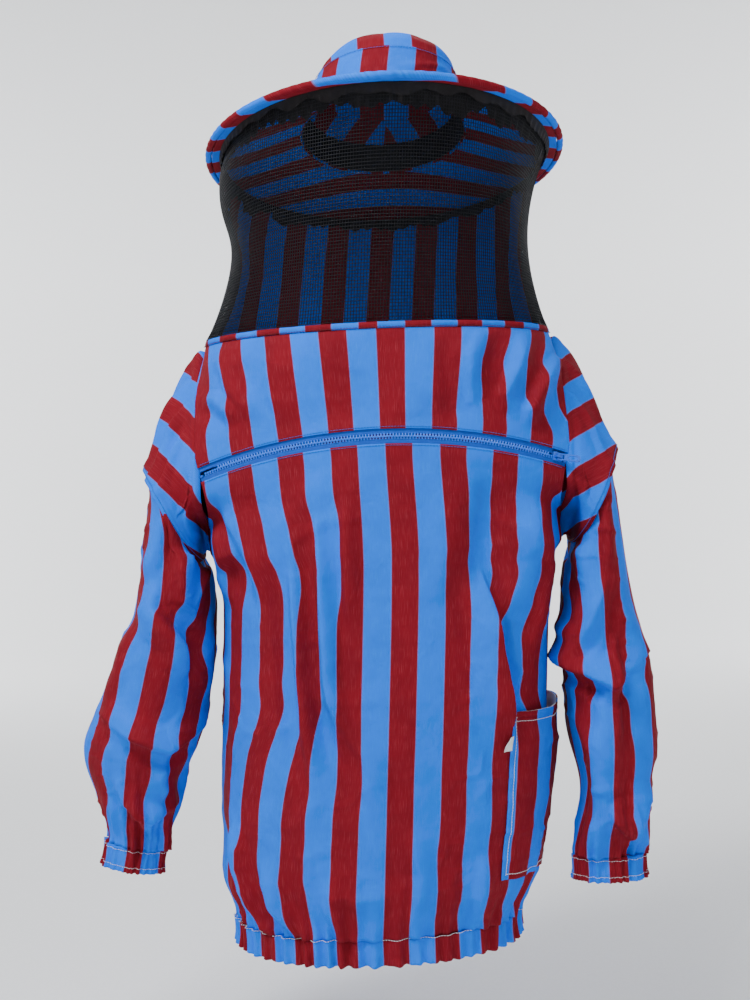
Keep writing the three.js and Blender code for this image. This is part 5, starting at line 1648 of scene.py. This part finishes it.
def make_sweep():
    """A bowl of pale paper round the jacket: a flat floor, a bend of a quarter circle and an upright wall."""
    bend = np.linspace(0, HALF_PI, 20)
    flat = np.array([0.002, 1, 2, 3.2, FLAT_RADIUS])
    wall = FLAT_RADIUS + BEND_RADIUS
    radius = np.concatenate([flat, FLAT_RADIUS + BEND_RADIUS * np.sin(bend), [wall]])
    rise = np.concatenate([0 * flat, BEND_RADIUS * (1 - np.cos(bend)), [WALL_TOP]])
    turn = np.arange(SWEEP_SIDES) * TURN / SWEEP_SIDES
    z = CAD_BOX[0].z - FLOOR_DROP + rise[:, None]
    verts = xyz(radius[:, None] * np.sin(turn), radius[:, None] * np.cos(turn), z) / MM
    r, c = grid_faces(len(radius), SWEEP_SIDES, True)
    material, tree = new_material("pale paper sweep")
    grain = wrinkled(tree, 0.004)
    normal = bumped(tree, [(grain, 0.05, 0.0002)])
    colour = blend_colours(tree, ranged(tree, grain, 0.3, 0.7), linear("#f2f3f4"), linear("#eeeff1"))
    surface(tree, colour, 0.9, normal)
    faces = (r * SWEEP_SIDES + c % SWEEP_SIDES)[:, ::-1]
    mesh_object("paper_sweep", verts.reshape(-1, 3), faces, material)


def make_lamps(light):
    """Disks of light: name, place, diameter and watts. The backdrop's lamps face the wall of paper behind
    the jacket, the others face the jacket. The world adds a faint, cool light from all round."""
    middle = Vector((CAD_BOX[0] + CAD_BOX[1]) / 2)
    wall_behind = Vector((0, 6.2, 0.3))
    lamps = [
        ("key lamp", (-1.5, -1.4, 2.1), 0.9, 74),
        ("fill lamp", (1.9, -1.9, 0.5), 1.6, 6),
        ("front lamp", (0.3, -2.6, 0.8), 1.4, 8),
        ("top lamp", (-0.35, -1.0, 1.45), 0.5, 15),
        ("back lamp", (0.3, 1.6, 1.8), 1.2, 16),
        ("left backdrop lamp", (3.2, 3.0, 1.2), 1.6, 150),
        ("right backdrop lamp", (-3.2, 3.0, 1.2), 1.6, 150),
    ]
    for name, place, size, power in lamps:
        lamp = bpy.data.lights.new(name, "AREA")
        lamp.shape, lamp.size, lamp.energy = "DISK", size, power * light
        obj = bpy.data.objects.new(name, lamp)
        bpy.context.scene.collection.objects.link(obj)
        obj.location = place
        towards = (wall_behind if "backdrop" in name else middle) - Vector(place)
        obj.rotation_euler = towards.to_track_quat("-Z", "Y").to_euler()
    world = bpy.data.worlds.new("studio")
    world.use_nodes = True
    sky = world.node_tree.nodes["Background"]
    sky.inputs["Color"].default_value = (0.93, 0.96, 1.0, 1)
    sky.inputs["Strength"].default_value = 0.45
    bpy.context.scene.world = world


def make_camera(settings):
    """The camera in front of the jacket, level, and leaning to its right by roll."""
    camera = bpy.data.objects.new("camera", bpy.data.cameras.new("camera"))
    bpy.context.scene.collection.objects.link(camera)
    camera.data.lens, camera.data.sensor_width = settings.lens, 36
    camera.data.clip_start, camera.data.clip_end = 0.05, 30
    upright = Matrix.Rotation(HALF_PI, 4, "X") @ Matrix.Rotation(-settings.roll, 4, "Z")
    place = Matrix.Translation((CAMERA_ASIDE, -settings.distance, settings.height))
    camera.matrix_world = place @ upright
    bpy.context.scene.camera = camera


# ---------------------------------------------------------------- operators and panel


class JACKET_OT_materials(bpy.types.Operator):
    """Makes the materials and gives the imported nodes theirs"""

    bl_idname = "jacket.materials"
    bl_label = "Materials"
    bl_options = {"REGISTER", "UNDO"}

    def execute(self, context):
        scene = context.scene
        make_materials(scene.jacket_cloth)
        finish_frame_nodes()
        return {"FINISHED"}


class JACKET_OT_bodice(bpy.types.Operator):
    """Makes the front, the back, the yoke, the collar piping and the gathered hem"""

    bl_idname = "jacket.bodice"
    bl_label = "Bodice"
    bl_options = {"REGISTER", "UNDO"}

    def execute(self, context):
        scene = context.scene
        front = make_front(scene.jacket_cloth, scene.jacket_trim)
        back = make_back(scene.jacket_cloth, scene.jacket_trim)
        make_yoke(scene.jacket_cloth)
        make_welt(scene.jacket_trim)
        make_hem(scene.jacket_trim, front, back)
        return {"FINISHED"}


class JACKET_OT_sleeves(bpy.types.Operator):
    """Makes the shoulder pieces, the sleeves and the gathered cuffs"""

    bl_idname = "jacket.sleeves"
    bl_label = "Sleeves"
    bl_options = {"REGISTER", "UNDO"}

    def execute(self, context):
        scene = context.scene
        for side in SIDES:
            make_shoulder(side, scene.jacket_cloth, scene.jacket_trim)
            stripes = make_sleeve(side, scene.jacket_cloth, scene.jacket_trim)
            make_cuff(side, scene.jacket_trim, stripes)
        return {"FINISHED"}


class JACKET_OT_pocket(bpy.types.Operator):
    """Makes the hip pocket with its lining, stitches and blank tag"""

    bl_idname = "jacket.pocket"
    bl_label = "Pocket"
    bl_options = {"REGISTER", "UNDO"}

    def execute(self, context):
        scene = context.scene
        make_pocket(scene.jacket_cloth, scene.jacket_trim)
        return {"FINISHED"}


class JACKET_OT_zip(bpy.types.Operator):
    """Makes the zip's teeth, beads and seams, and rounds its fittings"""

    bl_idname = "jacket.zip"
    bl_label = "Zip"
    bl_options = {"REGISTER", "UNDO"}

    def execute(self, context):
        scene = context.scene
        make_zip(scene.jacket_trim)
        return {"FINISHED"}


class JACKET_OT_hat(bpy.types.Operator):
    """Makes the brim, its binding and the crown"""

    bl_idname = "jacket.hat"
    bl_label = "Hat"
    bl_options = {"REGISTER", "UNDO"}

    def execute(self, context):
        scene = context.scene
        make_brim(scene.jacket_trim)
        make_binding()
        make_crown(scene.jacket_cloth, scene.jacket_trim)
        return {"FINISHED"}


class JACKET_OT_veil(bpy.types.Operator):
    """Makes the net, the cloth back, the seam bands and the gathered frill"""

    bl_idname = "jacket.veil"
    bl_label = "Veil"
    bl_options = {"REGISTER", "UNDO"}

    def execute(self, context):
        scene = context.scene
        make_net(scene.jacket_net)
        make_veil_back(scene.jacket_cloth)
        make_veil_ruffle()
        return {"FINISHED"}


class JACKET_OT_stage(bpy.types.Operator):
    """Makes the paper sweep, the lamps and the camera"""

    bl_idname = "jacket.stage"
    bl_label = "Stage"
    bl_options = {"REGISTER", "UNDO"}

    def execute(self, context):
        scene = context.scene
        make_sweep()
        make_lamps(scene.jacket_stage.light)
        make_camera(scene.jacket_stage)
        return {"FINISHED"}


class JACKET_PT_panel(bpy.types.Panel):
    """The jacket's settings and the operators that make it"""

    bl_idname = "JACKET_PT_panel"
    bl_label = "Beekeeping jacket"
    bl_space_type = "VIEW_3D"
    bl_region_type = "UI"
    bl_category = "Jacket"

    def draw(self, context):
        for group in SETTINGS:
            settings = getattr(context.scene, group)
            box = self.layout.box()
            for name in settings.bl_rna.properties.keys():
                if name not in {"rna_type", "name"}:
                    box.prop(settings, name)
        for operator in OPERATORS:
            self.layout.operator(operator.bl_idname)


OPERATORS = [
    JACKET_OT_materials,
    JACKET_OT_bodice,
    JACKET_OT_sleeves,
    JACKET_OT_pocket,
    JACKET_OT_zip,
    JACKET_OT_hat,
    JACKET_OT_veil,
    JACKET_OT_stage,
]
SETTINGS = {
    "jacket_cloth": ClothSettings,
    "jacket_net": NetSettings,
    "jacket_trim": TrimSettings,
    "jacket_stage": StageSettings,
}


def register():
    """Registers the settings, the operators and the panel."""
    for name, group in SETTINGS.items():
        bpy.utils.register_class(group)
        setattr(bpy.types.Scene, name, bpy.props.PointerProperty(type=group))
    for operator in OPERATORS:
        bpy.utils.register_class(operator)
    bpy.utils.register_class(JACKET_PT_panel)


def unregister():
    """Undoes register()."""
    bpy.utils.unregister_class(JACKET_PT_panel)
    for operator in reversed(OPERATORS):
        bpy.utils.unregister_class(operator)
    for name, group in SETTINGS.items():
        delattr(bpy.types.Scene, name)
        bpy.utils.unregister_class(group)


def main():
    register()
    for operator in OPERATORS:
        group, name = operator.bl_idname.split(".")
        getattr(getattr(bpy.ops, group), name)()
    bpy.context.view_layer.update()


if __name__ == "__main__":
    main()
